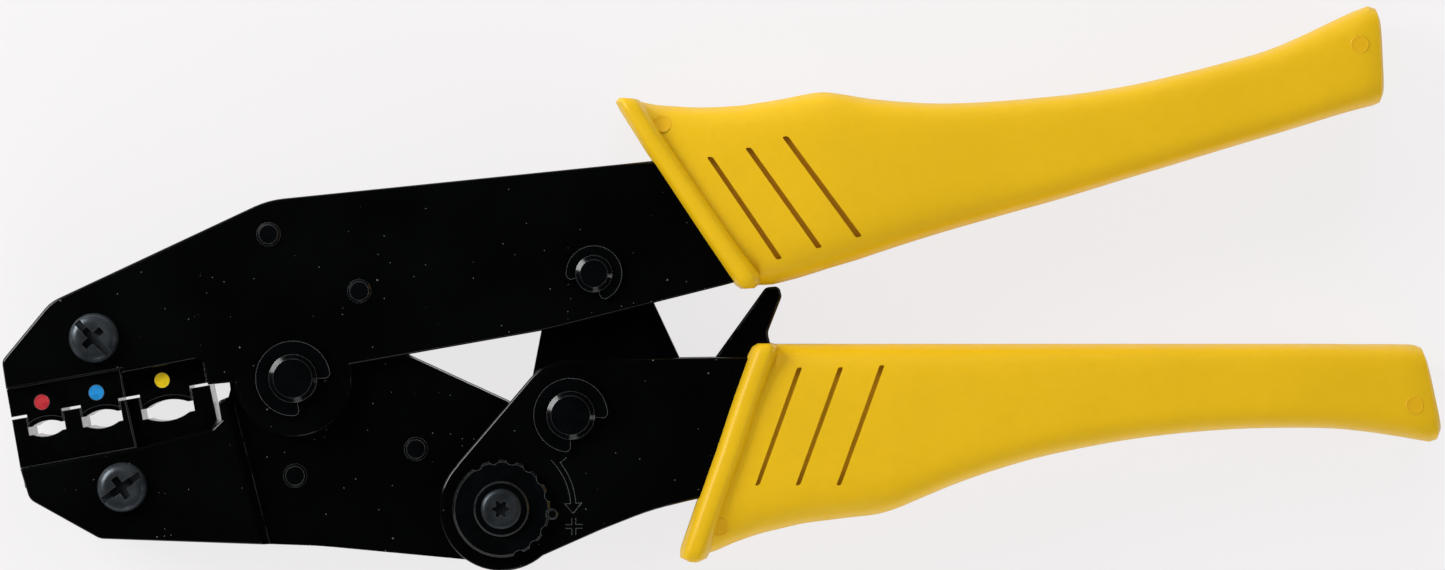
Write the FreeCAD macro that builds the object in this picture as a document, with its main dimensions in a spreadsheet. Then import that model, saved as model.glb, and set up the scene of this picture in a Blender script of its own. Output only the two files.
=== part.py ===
"""Ratchet crimping plier for insulated cable terminals, as an assembly of separate pieces.

Sizes are in millimetres and degrees. The plier lies flat: +X runs from the nose to the grips,
+Y from the moving handle to the fixed one, and +Z up, through the thickness. Each piece is drawn
from its own pivot: the frame and the jaw from the main pivot, the handle from the adjusting pin,
the toggle link from the link pin and the pawl from the pawl pin. The frame and the jaw are drawn
square to the parting line of the dies, which leans by frame_tilt.
"""
import FreeCAD, Part
import math
import os
import re
import Sketcher

SIZES = (
    # pivots
    ("frame_tilt", 10.0, "lean of the parting line of the dies, degrees"),
    ("link_pin_along", 48.2, "main pivot to link pin, along the parting line"),
    ("link_pin_up", 7.8, "main pivot to link pin, square to the parting line"),
    ("adjuster_along", 28.0, "main pivot to adjusting pin, along the parting line"),
    ("adjuster_down", 25.2, "main pivot to adjusting pin, square to the parting line"),
    ("knee_along", 10.6, "adjusting pin to knee pin, along X"),
    ("knee_up", 14.3, "adjusting pin to knee pin, along Y"),
    ("pawl_along", 39.5, "adjusting pin to pawl pin, along X"),
    ("pawl_up", 15.9, "adjusting pin to pawl pin, along Y"),
    # plates
    ("plate_gap", 9.0, "gap between the two outer plates"),
    ("plate_thick", 2.6, "thickness of every pressed plate"),
    ("side_play", 0.15, "play between an outer plate and what works inside it"),
    ("edge_round", 0.5, "rounding of the plates' outer edges"),
    ("nose_reach", 43.7, "main pivot to the nose"),
    ("nose_depth", 18.0, "height of the frame's shoulder above the main pivot"),
    ("frame_lobe", 9.0, "radius of the frame's lobe round the main pivot"),
    ("jaw_lobe", 10.0, "radius of the jaw's lobe round the main pivot"),
    ("tail_lobe", 8.2, "radius of the jaw's lobe round the adjusting pin"),
    ("handle_lobe", 9.6, "radius of the handle's lobe round the adjusting pin"),
    ("bend_place", 10.0, "main pivot to the foot of the jaw's joggle"),
    ("bend_width", 1.0, "width of the joggle's slope, seen from above"),
    ("bend_shift", 1.82, "how far the joggle's inner line stands behind its outer line"),
    ("bend_lean", 4.3, "lean of the joggle, degrees"),
    # pins and rings
    ("main_pin", 3.7, "radius of the main pivot pin"),
    ("link_pin", 2.82, "radius of the link pin"),
    ("knee_pin", 3.7, "radius of the knee pin"),
    ("pin_play", 0.05, "radial clearance of a turning fit"),
    ("knee_play", 0.65, "radial clearance where the linkage is left open"),
    ("ring_thick", 1.0, "thickness of a snap ring"),
    ("pin_end", 0.9, "how far a pin stands out past its snap ring"),
    ("groove_depth", 0.6, "depth of a snap ring's groove"),
    ("main_ring", 5.75, "outer radius of the main pivot's snap rings"),
    ("link_ring", 4.3, "outer radius of the link pin's snap rings"),
    ("knee_ring", 5.7, "outer radius of the knee pin's snap rings"),
    ("rivet", 1.85, "radius of a rivet's head"),
    ("rivet_step", 0.35, "how far a rivet's head stands out past its shank"),
    ("rivet_head", 0.5, "height of a rivet's head"),
    # spacers between the plates
    ("frame_spacer", 4.0, "half width of the frame's spacer"),
    ("tail_spacer", 3.0, "half width of the spacer inside the fixed grip"),
    ("jaw_spacer", 2.6, "half width of the jaw's spacer"),
    ("handle_spacer", 2.8, "half width of the handle's spacer"),
    # dies
    ("die_length", 30.3, "length of the dies, from the nose"),
    ("parting", 1.4, "height of the parting line above the main pivot"),
    ("die_gap", 0.4, "gap between the dies with the plier nearly closed"),
    ("die_ledge", 6.2, "half width of the raised part of the dies"),
    ("ledge_length", 17.6, "length of the raised part, from the nose"),
    ("window_top", 6.0, "edge of the frame's die window above the main pivot"),
    ("window_foot", 6.4, "edge of the jaw's die window below the main pivot"),
    ("tongue_play", 0.15, "clearance of a die tongue in its slot"),
    ("red_nest", 5.7, "width of the red nest's slot"),
    ("blue_nest", 6.2, "width of the blue nest's slot"),
    ("yellow_nest", 8.1, "width of the yellow nest's slot"),
    ("red_place", 5.1, "nose to the middle of the red nest"),
    ("blue_place", 13.7, "nose to the middle of the blue nest"),
    ("yellow_place", 23.7, "nose to the middle of the yellow nest"),
    ("screw_shank", 2.0, "radius of a die screw's shank"),
    ("screw_head", 3.8, "radius of a die screw's head"),
    ("screw_head_height", 2.2, "height of a die screw's head"),
    ("mark_radius", 1.15, "radius of a paint dot"),
    ("mark_depth", 0.2, "depth of a paint dot's recess"),
    # adjuster
    ("eccentric", 4.6, "radius of the adjusting pin's eccentric middle"),
    ("eccentricity", 0.25, "offset of the adjusting pin's middle"),
    ("adjuster_end", 3.9, "radius of the adjusting pin's ends"),
    ("wheel_radius", 7.45, "outer radius of the adjusting wheel"),
    ("wheel_thick", 1.6, "thickness of the adjusting wheel"),
    ("notch_radius", 0.95, "radius of a notch in the adjusting wheel"),
    ("notch_pitch", 21.0, "angle between two notches, degrees"),
    ("notch_clear", 0.4, "how far a notch's middle lies outside the wheel's rim"),
    ("notch_start", 6.0, "angle from +X down to the lock pin's notch, degrees"),
    ("collar_radius", 4.24, "outer radius of the adjuster's collar"),
    ("collar_height", 0.6, "height of the adjuster's collar"),
    ("button_neck", 1.6, "radius of the button screw's neck"),
    ("button_radius", 3.1, "radius of the adjuster's button screw"),
    ("button_height", 1.1, "height of the adjuster's button screw"),
    ("lock_radius", 0.85, "radius of the lock pin"),
    # link and pawl
    ("link_width", 6.4, "radius of the link's eye round the link pin"),
    ("link_knee", 7.0, "radius of the link's eye round the knee pin"),
    ("sector_tip", 18.4, "radius of the ratchet teeth's tips"),
    ("tooth_depth", 1.2, "depth of a ratchet tooth"),
    ("tooth_pitch", 5.2, "angle between two ratchet teeth, degrees"),
    ("sector_thick", 6.0, "thickness of the link's web and sector"),
    ("pawl_thick", 4.0, "thickness of the pawl"),
    ("pawl_pin", 2.0, "radius of the pawl pin"),
    ("nose_play", 0.35, "clearance between the pawl's nose and the teeth"),
    # springs
    ("bush_wall", 1.2, "wall of the pivot bush"),
    ("coil_play", 0.5, "clearance between the bush and the opening spring"),
    ("spring_wire", 0.6, "radius of the opening spring's wire"),
    ("pawl_coil", 1.7, "mean radius of the pawl spring"),
    ("pawl_wire", 0.3, "radius of the pawl spring's wire"),
    ("spring_start", 6.0, "pawl pin to the near end of the pawl spring"),
    ("spring_length", 12.0, "length of the pawl spring"),
    ("spring_post", 1.2, "radius of the pawl spring's post"),
    # grips
    ("grip_thick", 18.5, "thickness of a grip"),
    ("flange_thick", 21.0, "thickness of a grip's flange"),
    ("fixed_grip_length", 104.3, "flange to end of the fixed grip"),
    ("moving_grip_length", 102.9, "flange to end of the moving grip"),
    ("grip_round", 1.4, "rounding of a grip's edges"),
    ("flange_round", 1.0, "rounding of a flange's edges"),
    ("slot_width", 0.8, "width of a grip's slots"),
    ("slot_depth", 1.2, "depth of a grip's slots"),
    ("slot_pitch", 6.3, "distance between two slots"),
    ("mould_mark", 1.3, "radius of the round moulding marks"),
    # where the assembly's own frame puts its origin
    ("shift_x", 0.0, "X of the main pivot"),
    ("shift_y", 0.0, "Y of the main pivot"),
    ("mid_height", 0.0, "Z of the plier's middle plane"),
)

# places worked out from the sizes above
DERIVED = {
    "outer_face": "(plate_gap / 2 + plate_thick)",
    "rivet_shank": "(rivet - rivet_step)",
    "wheel_top": "(plate_gap / 2 + plate_thick + wheel_thick)",
    "inner_face": "(plate_gap / 2 - side_play)",
    "jaw_inner": "(plate_gap / 2 - side_play - plate_thick)",
    "link_x": "(link_pin_along * cos(frame_tilt) - link_pin_up * sin(frame_tilt))",
    "link_y": "(link_pin_along * sin(frame_tilt) + link_pin_up * cos(frame_tilt))",
    "hinge_x": "(adjuster_along * cos(frame_tilt) + adjuster_down * sin(frame_tilt))",
    "hinge_y": "(adjuster_along * sin(frame_tilt) - adjuster_down * cos(frame_tilt))",
    "knee_x": "(hinge_x + knee_along)",
    "knee_y": "(hinge_y + knee_up)",
    "link_length": "sqrt((link_x - knee_x) ^ 2 + (link_y - knee_y) ^ 2)",
    "link_lean": "(atan2(link_y - knee_y; link_x - knee_x) - 90 deg)",
    "upper_parting": "(parting + die_gap / 2)",
    "lower_parting": "(parting - die_gap / 2)",
    "die_end": "(die_length - nose_reach)",
    "ledge_end": "(ledge_length - nose_reach)",
}

DOC = FreeCAD.newDocument("crimping_plier")
SHEET = DOC.addObject("Spreadsheet::Sheet", "Sizes")
NAMES = {name for name, _, _ in SIZES}
PIECES = []
FULL_TURN = 360
FAR = "200"


def fill_sheet():
    """Write every size with its alias and its note."""
    for row, (name, size, note) in enumerate(SIZES, 1):
        SHEET.set("A%d" % row, name)
        SHEET.set("B%d" % row, str(size))
        SHEET.set("C%d" % row, note)
        SHEET.setAlias("B%d" % row, name)
    DOC.recompute()


def bound(text):
    """Turn words that name sizes into references to the sheet's cells."""
    def swap(match):
        word = match.group(0)
        if word in DERIVED:
            return bound(DERIVED[word])
        return "Sizes." + word if word in NAMES else word
    return re.sub(r"[a-z_]+[a-z]", swap, str(text))


def value(text):
    """Work out an expression of sizes as a number."""
    return float(SHEET.evalExpression(bound(text)))


def bind_place(piece, base_x, base_y, turn):
    """Bind a piece's place and its turn about +Z to the sheet, and count it in."""
    piece.Placement.Rotation = FreeCAD.Rotation(FreeCAD.Vector(0, 0, 1), 1)
    piece.setExpression("Placement.Rotation.Angle", bound(turn))
    piece.setExpression("Placement.Base.x", bound("shift_x + " + base_x))
    piece.setExpression("Placement.Base.y", bound("shift_y + " + base_y))
    piece.setExpression("Placement.Base.z", bound("mid_height"))
    PIECES.append(piece)


def new_body(label, base_x="0", base_y="0", turn="0"):
    """Start a piece whose own origin lies at a pivot, turned about +Z."""
    body = DOC.addObject("PartDesign::Body", label)
    body.Label = label
    body.AllowCompound = True
    bind_place(body, base_x, base_y, turn)
    return body


def frame_body(label):
    """Start a piece that is drawn square to the parting line, from the main pivot."""
    return new_body(label, turn="frame_tilt")


def handle_body(label):
    """Start a piece of the moving handle, drawn from the adjusting pin."""
    return new_body(label, "hinge_x", "hinge_y")


def origin_plane(body, role):
    return next(plane for plane in body.Origin.OriginFeatures if plane.Role == role)


def new_sketch(body, height="0", role="XY_Plane"):
    """Attach an empty sketch to one of the piece's own planes, at a height above it."""
    sketch = body.newObject("Sketcher::SketchObject", "Outline")
    sketch.AttachmentSupport = [(origin_plane(body, role), "")]
    sketch.MapMode = "FlatFace"
    sketch.setExpression("AttachmentOffset.Base.z", bound(height))
    return sketch


def place_point(sketch, geometry, end, x, y):
    """Hold one point of a sketch at two bound distances from its origin."""
    for kind, text in (("DistanceX", x), ("DistanceY", y)):
        size = value(text)
        index = sketch.addConstraint(Sketcher.Constraint(kind, -1, 1, geometry, end, size))
        sketch.setExpression("Constraints[%d]" % index, bound(text))


def set_radius(sketch, geometry, text):
    index = sketch.addConstraint(Sketcher.Constraint("Radius", geometry, value(text)))
    sketch.setExpression("Constraints[%d]" % index, bound(text))


def add_circles(sketch, circles):
    """Draw circles, each given as (x, y, radius)."""
    for x, y, radius in circles:
        centre = FreeCAD.Vector(value(x), value(y), 0)
        circle = Part.Circle(centre, FreeCAD.Vector(0, 0, 1), value(radius))
        index = sketch.addGeometry(circle, False)
        place_point(sketch, index, 3, x, y)
        set_radius(sketch, index, radius)


def rounded_corner(before, corner, after, radius):
    """Give the arc that rounds a corner: where it starts and ends, and whether it turns left."""
    run_in = (corner - before).normalize()
    run_out = (after - corner).normalize()
    turn = math.atan2(run_in.cross(run_out).z, run_in.dot(run_out))
    reach = radius * math.tan(abs(turn) / 2)
    start = corner - run_in * reach
    end = corner + run_out * reach
    left = turn > 0
    side = FreeCAD.Vector(-run_in.y, run_in.x, 0) * (1 if left else -1)
    centre = start + side * radius
    first, last = (start, end) if left else (end, start)
    circle = Part.Circle(centre, FreeCAD.Vector(0, 0, 1), radius)
    arc = Part.ArcOfCircle(circle, circle.parameter(first), circle.parameter(last))
    return start, end, left, arc


def add_outline(sketch, corners):
    """Draw a closed outline. A corner is (x, y) or (x, y, rounding radius)."""
    points = [FreeCAD.Vector(value(c[0]), value(c[1]), 0) for c in corners]
    count = len(corners)
    rounds = {}
    for i, corner in enumerate(corners):
        if len(corner) > 2:
            rounds[i] = rounded_corner(points[i - 1], points[i], points[(i + 1) % count],
                                       value(corner[2]))
    lines = []
    for i in range(count):
        after = (i + 1) % count
        start = rounds[i][1] if i in rounds else points[i]
        end = rounds[after][0] if after in rounds else points[after]
        lines.append(sketch.addGeometry(Part.LineSegment(start, end), False))
    for i, corner in enumerate(corners):
        before = lines[i - 1]
        if i not in rounds:
            sketch.addConstraint(Sketcher.Constraint("Coincident", before, 2, lines[i], 1))
            place_point(sketch, lines[i], 1, corner[0], corner[1])
            continue
        left, arc = rounds[i][2:]
        arc = sketch.addGeometry(arc, False)
        first, last = (1, 2) if left else (2, 1)
        sketch.addConstraint(Sketcher.Constraint("Tangent", before, 2, arc, first))
        sketch.addConstraint(Sketcher.Constraint("Tangent", lines[i], 1, arc, last))
        set_radius(sketch, arc, corner[2])
        mark = sketch.addGeometry(Part.Point(points[i]), True)
        place_point(sketch, mark, 1, corner[0], corner[1])
        sketch.addConstraint(Sketcher.Constraint("PointOnObject", mark, 1, before))
        sketch.addConstraint(Sketcher.Constraint("PointOnObject", mark, 1, lines[i]))


def outline_sketch(body, corners, height="0", role="XY_Plane"):
    sketch = new_sketch(body, height, role)
    add_outline(sketch, corners)
    return sketch


def circle_sketch(body, circles, height="0"):
    sketch = new_sketch(body, height)
    add_circles(sketch, circles)
    return sketch


def pad(body, sketch, length, both_ways=False):
    """Raise a sketch upwards by a length, or by half of it each way."""
    feature = body.newObject("PartDesign::Pad", "Pad")
    feature.Profile = sketch
    feature.SideType = "Symmetric" if both_ways else "One side"
    feature.setExpression("Length", bound(length))
    return feature


def pocket(body, sketch, depth=FAR, upwards=False, both_ways=True):
    """Cut a sketch's area away, half each way or one way from the sketch."""
    feature = body.newObject("PartDesign::Pocket", "Pocket")
    feature.Profile = sketch
    feature.SideType = "Symmetric" if both_ways else "One side"
    feature.Reversed = upwards
    feature.setExpression("Length", bound(depth))
    return feature


def revolve(body, corners):
    """Turn an outline of (radius, height) corners once round the piece's Z axis."""
    sketch = outline_sketch(body, corners, role="XZ_Plane")
    feature = body.newObject("PartDesign::Revolution", "Turning")
    feature.Profile = sketch
    feature.ReferenceAxis = (sketch, ["V_Axis"])
    feature.Angle = FULL_TURN
    return feature


def mirror(body, features):
    """Copy features to the other side of the middle plane."""
    feature = body.newObject("PartDesign::Mirrored", "Mirrored")
    feature.Originals = features
    feature.MirrorPlane = (origin_plane(body, "XY_Plane"), [""])
    body.Tip = feature
    return feature


def is_flat_at(face, height):
    box = face.BoundBox
    return box.ZLength < 1e-6 and abs(box.ZMin - height) < 1e-6


def rim_edges(shape, height):
    """Name the edges round the largest flat face at a height."""
    faces = [face for face in shape.Faces if is_flat_at(face, value(height))]
    rim = max(faces, key=lambda face: face.Area).OuterWire.Edges
    return ["Edge%d" % i for i, edge in enumerate(shape.Edges, 1)
            if any(edge.isSame(one) for one in rim)]


def dress(body, kind, base, edges, size):
    """Round ("Fillet") or bevel ("Chamfer") named edges of a feature."""
    feature = body.newObject("PartDesign::" + kind, kind)
    feature.Base = (base, edges)
    feature.setExpression("Radius" if kind == "Fillet" else "Size", bound(size))
    DOC.recompute()
    if "Invalid" in feature.State:
        raise RuntimeError("%s of %s failed" % (kind, body.Label))
    return feature


def round_rim(body, base, heights, size, kind="Fillet"):
    DOC.recompute()
    edges = [name for height in heights for name in rim_edges(base.Shape, height)]
    return dress(body, kind, base, edges, size)


def plate_level(front):
    """Give an outer plate's lower face and its outward face."""
    if front:
        return "plate_gap / 2", "outer_face"
    return "-outer_face", "-outer_face"


def outer_plate(body, corners, lobes, holes, front):
    """Cut an outer plate from an outline, its lobes and its holes, with a rounded outer rim."""
    foot, face = plate_level(front)
    pad(body, outline_sketch(body, corners, foot), "plate_thick")
    blank = pad(body, circle_sketch(body, lobes, foot), "plate_thick")
    round_rim(body, blank, [face], "edge_round")
    pocket(body, circle_sketch(body, holes))


# ---- fixed frame ----

def frame_tail():
    """Outline of the frame plates inside the fixed grip, from the top to the bottom."""
    return [
        ("link_pin_along + 11.4", "link_pin_up + 15.5"),
        ("link_pin_along + 51.8", "link_pin_up + 12.2", "60"),
        ("link_pin_along + 55.6 + fixed_grip_length * 0.46", "link_pin_up + 11.4", "2.5"),
        ("link_pin_along + 55.6 + fixed_grip_length * 0.46", "link_pin_up + 6.0", "2.5"),
        ("link_pin_along + 51.8", "link_pin_up + 0.7", "40"),
        ("link_pin_along + 21.1", "link_pin_up - 5.1", "30"),
    ]


FRAME_RIVETS = [("0.1", "22.4"), ("12.3", "11.4")]
TAIL_RIVETS = [("link_pin_along + 62", "link_pin_up + 6.6"),
               ("link_pin_along + 92", "link_pin_up + 8.2")]
UPPER_SCREW = ("14.7 - nose_reach", "window_top + 5.4")
LOWER_SCREW = ("15.0 - nose_reach", "-window_foot - 5.5")


def frame_corners():
    return [
        ("-nose_reach", "window_top"),
        ("0.1 - nose_reach", "nose_depth - 7.6", "1.6"),
        ("9.0 - nose_reach", "nose_depth", "6"),
        ("0.9", "nose_depth + 9.6", "14"),
    ] + frame_tail() + [
        ("link_pin_along - 8.9", "link_pin_up - 7.25", "60"),
        ("frame_lobe - 2", "0.55"),
        ("0", "-5"),
        ("4.0 - frame_lobe", "-1.6"),
        ("-0.2 - frame_lobe", "1.0", "0.9"),
        ("die_end + 0.3", "1.3"),
        ("die_end + 0.3", "window_top - 0.5", "1.2"),
        ("ledge_end + 0.4", "window_top - 0.7"),
        ("ledge_end + 0.4", "window_top"),
    ]


def make_frame_plate(label, front):
    body = frame_body(label)
    holes = [("0", "0", "main_pin"), ("link_pin_along", "link_pin_up", "link_pin")]
    holes += [(*UPPER_SCREW, "screw_shank")]
    holes += rivet_holes(FRAME_RIVETS + TAIL_RIVETS)
    outer_plate(body, frame_corners(), [("0", "0", "frame_lobe")], holes, front)


def make_spacer(body, rivets, half_width, thickness):
    """Make a straight block with round ends, held by a rivet at each end."""
    (x1, y1), (x2, y2) = rivets
    lean = "atan2(%s - (%s); %s - (%s))" % (y2, y1, x2, x1)
    dx = "%s * -sin(%s)" % (half_width, lean)
    dy = "%s * cos(%s)" % (half_width, lean)
    corners = [
        ("%s - (%s)" % (x1, dx), "%s - (%s)" % (y1, dy)),
        ("%s - (%s)" % (x2, dx), "%s - (%s)" % (y2, dy)),
        ("%s + (%s)" % (x2, dx), "%s + (%s)" % (y2, dy)),
        ("%s + (%s)" % (x1, dx), "%s + (%s)" % (y1, dy)),
    ]
    pad(body, outline_sketch(body, corners), thickness, True)
    for x, y in rivets:
        pad(body, circle_sketch(body, [(x, y, half_width)]), thickness, True)
    pocket(body, circle_sketch(body, rivet_holes(rivets)))


def rivet_holes(rivets):
    return [(x, y, "rivet_shank") for x, y in rivets]


def make_frame_spacers():
    make_spacer(frame_body("frame_spacer"), FRAME_RIVETS, "frame_spacer", "plate_gap")
    make_spacer(frame_body("frame_tail_spacer"), TAIL_RIVETS, "tail_spacer", "plate_gap")


def flat_circles(shape, heights, radius):
    """Name the circular edges of a radius that lie at one of some heights."""
    names = []
    for i, edge in enumerate(shape.Edges, 1):
        round_edge = isinstance(edge.Curve, Part.Circle)
        level = any(is_flat_at(edge, height) for height in heights)
        if round_edge and level and abs(edge.Curve.Radius - radius) < 1e-6:
            names.append("Edge%d" % i)
    return names


def riveted(label, maker, places, face, head_height):
    """Make rivets as turned pieces, each with a bevelled head at both ends."""
    body = maker(label)
    shank = pad(body, circle_sketch(body, rivet_holes(places)), "2 * %s" % face, True)
    if head_height == "0":
        return shank
    heads = [(x, y, "rivet") for x, y in places]
    caps = [pad(body, circle_sketch(body, heads, face), head_height),
            pad(body, circle_sketch(body, heads, "-%s - %s" % (face, head_height)), head_height)]
    DOC.recompute()
    top = value("%s + %s" % (face, head_height))
    edges = flat_circles(caps[1].Shape, [top, -top], value("rivet"))
    return dress(body, "Chamfer", caps[1], edges, "rivet_head - 0.1")


def pin_corners(radius, face):
    """Half section of a pin with a snap-ring groove and a bevel at both ends."""
    groove = "%s - groove_depth" % radius
    ring = "%s + ring_thick" % face
    end = "%s + pin_end" % ring
    upper = [(groove, face), (groove, ring), (radius, ring),
             (radius, "%s - 0.5" % end), ("%s - 0.7" % radius, end), ("0", end)]
    lower = [(reach, "-(%s)" % height) for reach, height in reversed(upper)]
    return lower + [(radius, "-(%s)" % face), (radius, face)] + upper


def make_pin(label, base_x, base_y, turn, radius, face):
    body = new_body(label, base_x, base_y, turn)
    revolve(body, pin_corners(radius, face))


def make_rings(label, base_x, base_y, pin, outer, gap_from, gap_to):
    """Make the two snap rings of a pin, open between two angles."""
    body = new_body(label, base_x, base_y)
    inner = "%s - groove_depth" % pin
    middle = (gap_from + gap_to) / 2
    spread = math.tan(math.radians((gap_to - gap_from) / 2))
    reach = "1.6 * %s" % outer
    side = "1.6 * %s * %.3f" % (outer, spread)
    rings = []
    for height in ("outer_face", "-outer_face - ring_thick"):
        sketch = circle_sketch(body, [("0", "0", outer), ("0", "0", inner)], height)
        rings.append(pad(body, sketch, "ring_thick"))
    gap = new_sketch(body)
    gap.AttachmentOffset = FreeCAD.Placement(
        FreeCAD.Vector(), FreeCAD.Rotation(FreeCAD.Vector(0, 0, 1), middle))
    add_outline(gap, [("0", "0"), (reach, "-" + side), (reach, side)])
    pocket(body, gap)
    DOC.recompute()
    tips = ["Edge%d" % i for i, edge in enumerate(body.Tip.Shape.Edges, 1)
            if edge.BoundBox.XLength < 1e-6 and edge.BoundBox.YLength < 1e-6]
    dress(body, "Fillet", body.Tip, tips, "0.8")


def nest_places():
    """Middle, slot width, tongue foot and slot foot of each nest."""
    return [
        ("red_place - nose_reach", "red_nest", "0.2", "-2.2"),
        ("blue_place - nose_reach", "blue_nest", "0.35", "-2.45"),
        ("yellow_place - nose_reach", "yellow_nest", "0.1", "-3.1"),
    ]


def nest_radius(width):
    return "0.84 * %s" % width


def nest_corners(middle, width, foot, half, top, way):
    """Outline of a tongue or slot whose end is hollowed (way 1) or deepened (way -1) by an arc."""
    shoulder = "%s - 0.1 * %s * %d" % (foot, width, way)
    return [
        ("%s - (%s)" % (middle, half), top),
        ("%s - (%s)" % (middle, half), shoulder),
        ("%s - 0.4 * %s" % (middle, width), shoulder),
        (middle, "%s + 0.2 * %s * %d" % (shoulder, width, way), nest_radius(width)),
        ("%s + 0.4 * %s" % (middle, width), shoulder),
        ("%s + (%s)" % (middle, half), shoulder),
        ("%s + (%s)" % (middle, half), top),
    ]


def make_upper_die():
    body = frame_body("upper_die")
    block = [
        ("-nose_reach", "upper_parting"),
        ("-nose_reach", "nose_depth - 8.4"),
        ("8.4 - nose_reach", "nose_depth - 1.5"),
        ("20 - nose_reach", "nose_depth - 1.5"),
        ("die_end", "window_top + 4.5"),
        ("die_end", "upper_parting"),
    ]
    pad(body, outline_sketch(body, block), "plate_gap", True)
    ledge = [
        ("-nose_reach", "upper_parting"),
        ("-nose_reach", "window_top - 0.05"),
        ("ledge_end", "window_top - 0.05"),
        ("ledge_end", "upper_parting"),
    ]
    pad(body, outline_sketch(body, ledge), "2 * die_ledge", True)
    for middle, width, foot, _ in nest_places():
        half = "%s / 2 - tongue_play" % width
        tongue = nest_corners(middle, width, foot, half, "upper_parting + 0.5", 1)
        depth = "plate_gap" if width == "yellow_nest" else "2 * die_ledge"
        pad(body, outline_sketch(body, tongue), depth, True)
    pocket(body, circle_sketch(body, [(*UPPER_SCREW, "screw_shank")]))
    bevel_nests(body, "0.7")
    sink_marks(body)


def bevel_nests(body, size):
    """Bevel the nests' arcs on both sides of a die, by a size."""
    DOC.recompute()
    shape = body.Tip.Shape
    edges = []
    for _, width, _, _ in nest_places():
        level = value("plate_gap / 2" if width == "yellow_nest" else "die_ledge")
        edges += flat_circles(shape, [level, -level], value(nest_radius(width)))
    dress(body, "Chamfer", body.Tip, edges, size)


def mark_places():
    """Label, place and face of each paint dot."""
    return [
        ("red_mark", "red_place - nose_reach - 0.1", "3.1", "die_ledge"),
        ("blue_mark", "blue_place - nose_reach - 0.2", "3.1", "die_ledge"),
        ("yellow_mark", "yellow_place - nose_reach - 0.1", "3.2", "plate_gap / 2"),
    ]


def sink_marks(body):
    for _, x, y, face in mark_places():
        sketch = circle_sketch(body, [(x, y, "mark_radius")], face)
        pocket(body, sketch, "mark_depth", both_ways=False)


def make_marks():
    for label, x, y, face in mark_places():
        body = frame_body(label)
        foot = "%s - mark_depth" % face
        pad(body, circle_sketch(body, [(x, y, "mark_radius")], foot), "mark_depth")


def make_die_screw(label, place, lean):
    """Make a pan-head screw with a cross and a slot, through both plates and the die."""
    body = frame_body(label)
    pad(body, circle_sketch(body, [(*place, "screw_shank")]), "2 * outer_face", True)
    head = pad(body, circle_sketch(body, [(*place, "screw_head")], "outer_face"),
               "screw_head_height")
    DOC.recompute()
    top = value("outer_face + screw_head_height")
    edges = flat_circles(head.Shape, [top], value("screw_head"))
    dress(body, "Fillet", head, edges, "screw_head_height - 0.7")
    cut_drive(body, place, lean, "screw_head * 0.92", "0.55", "0.8")
    cut_drive(body, place, lean, "screw_head * 0.5", "0.6", "1.6")
    cut_drive(body, place, lean + 90, "screw_head * 0.5", "0.6", "1.6")


def cut_drive(body, place, lean, half_length, half_width, depth):
    """Cut a straight groove across a screw's head."""
    x, y = place
    sketch = new_sketch(body, "outer_face + screw_head_height")
    turned = FreeCAD.Rotation(FreeCAD.Vector(0, 0, 1), lean)
    sketch.AttachmentOffset = FreeCAD.Placement(FreeCAD.Vector(), turned)
    sketch.setExpression("AttachmentOffset.Base.x", bound(x))
    sketch.setExpression("AttachmentOffset.Base.y", bound(y))
    sketch.setExpression("AttachmentOffset.Base.z", bound("outer_face + screw_head_height"))
    add_outline(sketch, [
        ("-" + half_length, "-" + half_width),
        (half_length, "-" + half_width),
        (half_length, half_width),
        ("-" + half_length, half_width),
    ])
    pocket(body, sketch, depth, both_ways=False)


def make_pivot_bush():
    """Make the bush between the jaw plates that the opening spring sits round."""
    body = frame_body("pivot_bush")
    sketch = circle_sketch(body, [("0", "0", "main_pin + bush_wall"), ("0", "0", "main_pin")])
    pad(body, sketch, "2 * jaw_inner - 0.2", True)


def make_opening_spring():
    """Make the torsion spring: two turns round the bush and a straight leg each way."""
    coil = value("main_pin + bush_wall + coil_play + spring_wire")
    wire = value("spring_wire")
    pitch = 2.2 * wire
    helix = Part.makeHelix(pitch, pitch, coil)
    section = Part.Wire(Part.makeCircle(wire, FreeCAD.Vector(coil, 0, 0),
                                        FreeCAD.Vector(0, 1, 0)))
    turns = Part.Wire(helix.Edges).makePipeShell([section], True, True)
    turns.translate(FreeCAD.Vector(0, 0, -pitch / 2))
    turns.rotate(FreeCAD.Vector(), FreeCAD.Vector(0, 0, 1), 180)
    up = Part.makeCylinder(wire, 16, FreeCAD.Vector(-coil, -0.4, pitch / 2),
                           FreeCAD.Vector(0, 1, 0))
    down = Part.makeCylinder(wire, 11, FreeCAD.Vector(-coil, 0.4, -pitch / 2),
                             FreeCAD.Vector(0, -1, 0))
    feature = DOC.addObject("Part::Feature", "opening_spring")
    feature.Label = "opening_spring"
    feature.Shape = Part.makeCompound([turns.fuse([up, down])])
    bind_place(feature, "0", "0", "frame_tilt")


# ---- lower jaw ----

JAW_RIVETS = [("-2.5", "-14.8"), ("16.5", "-14.0")]


def jaw_corners():
    return [
        ("-nose_reach", "-window_foot"),
        ("0.6 - nose_reach", "-window_foot - 4.9", "2.2"),
        ("10.2 - nose_reach", "-window_foot - 12.7", "2.5"),
        ("-0.6", "-window_foot - 19.7", "60"),
        ("adjuster_along - 2.0", "-adjuster_down - tail_lobe"),
        ("adjuster_along + tail_lobe - 0.4", "-adjuster_down - 1.8"),
        ("adjuster_along + 3.9", "-9.4", "1.2"),
        ("5.0", "jaw_lobe - 0.8"),
        ("-4.6", "jaw_lobe - 1.2"),
        ("-bend_place", "0"),
        ("-bend_place - 0.4", "-1.1"),
        ("die_end + 1.45", "-1.45", "0.5"),
        ("die_end + 1.4", "-4.4"),
        ("die_end - 0.2", "-window_foot + 0.9", "1.0"),
        ("ledge_end + 0.6", "-window_foot + 0.1"),
    ]


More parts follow.
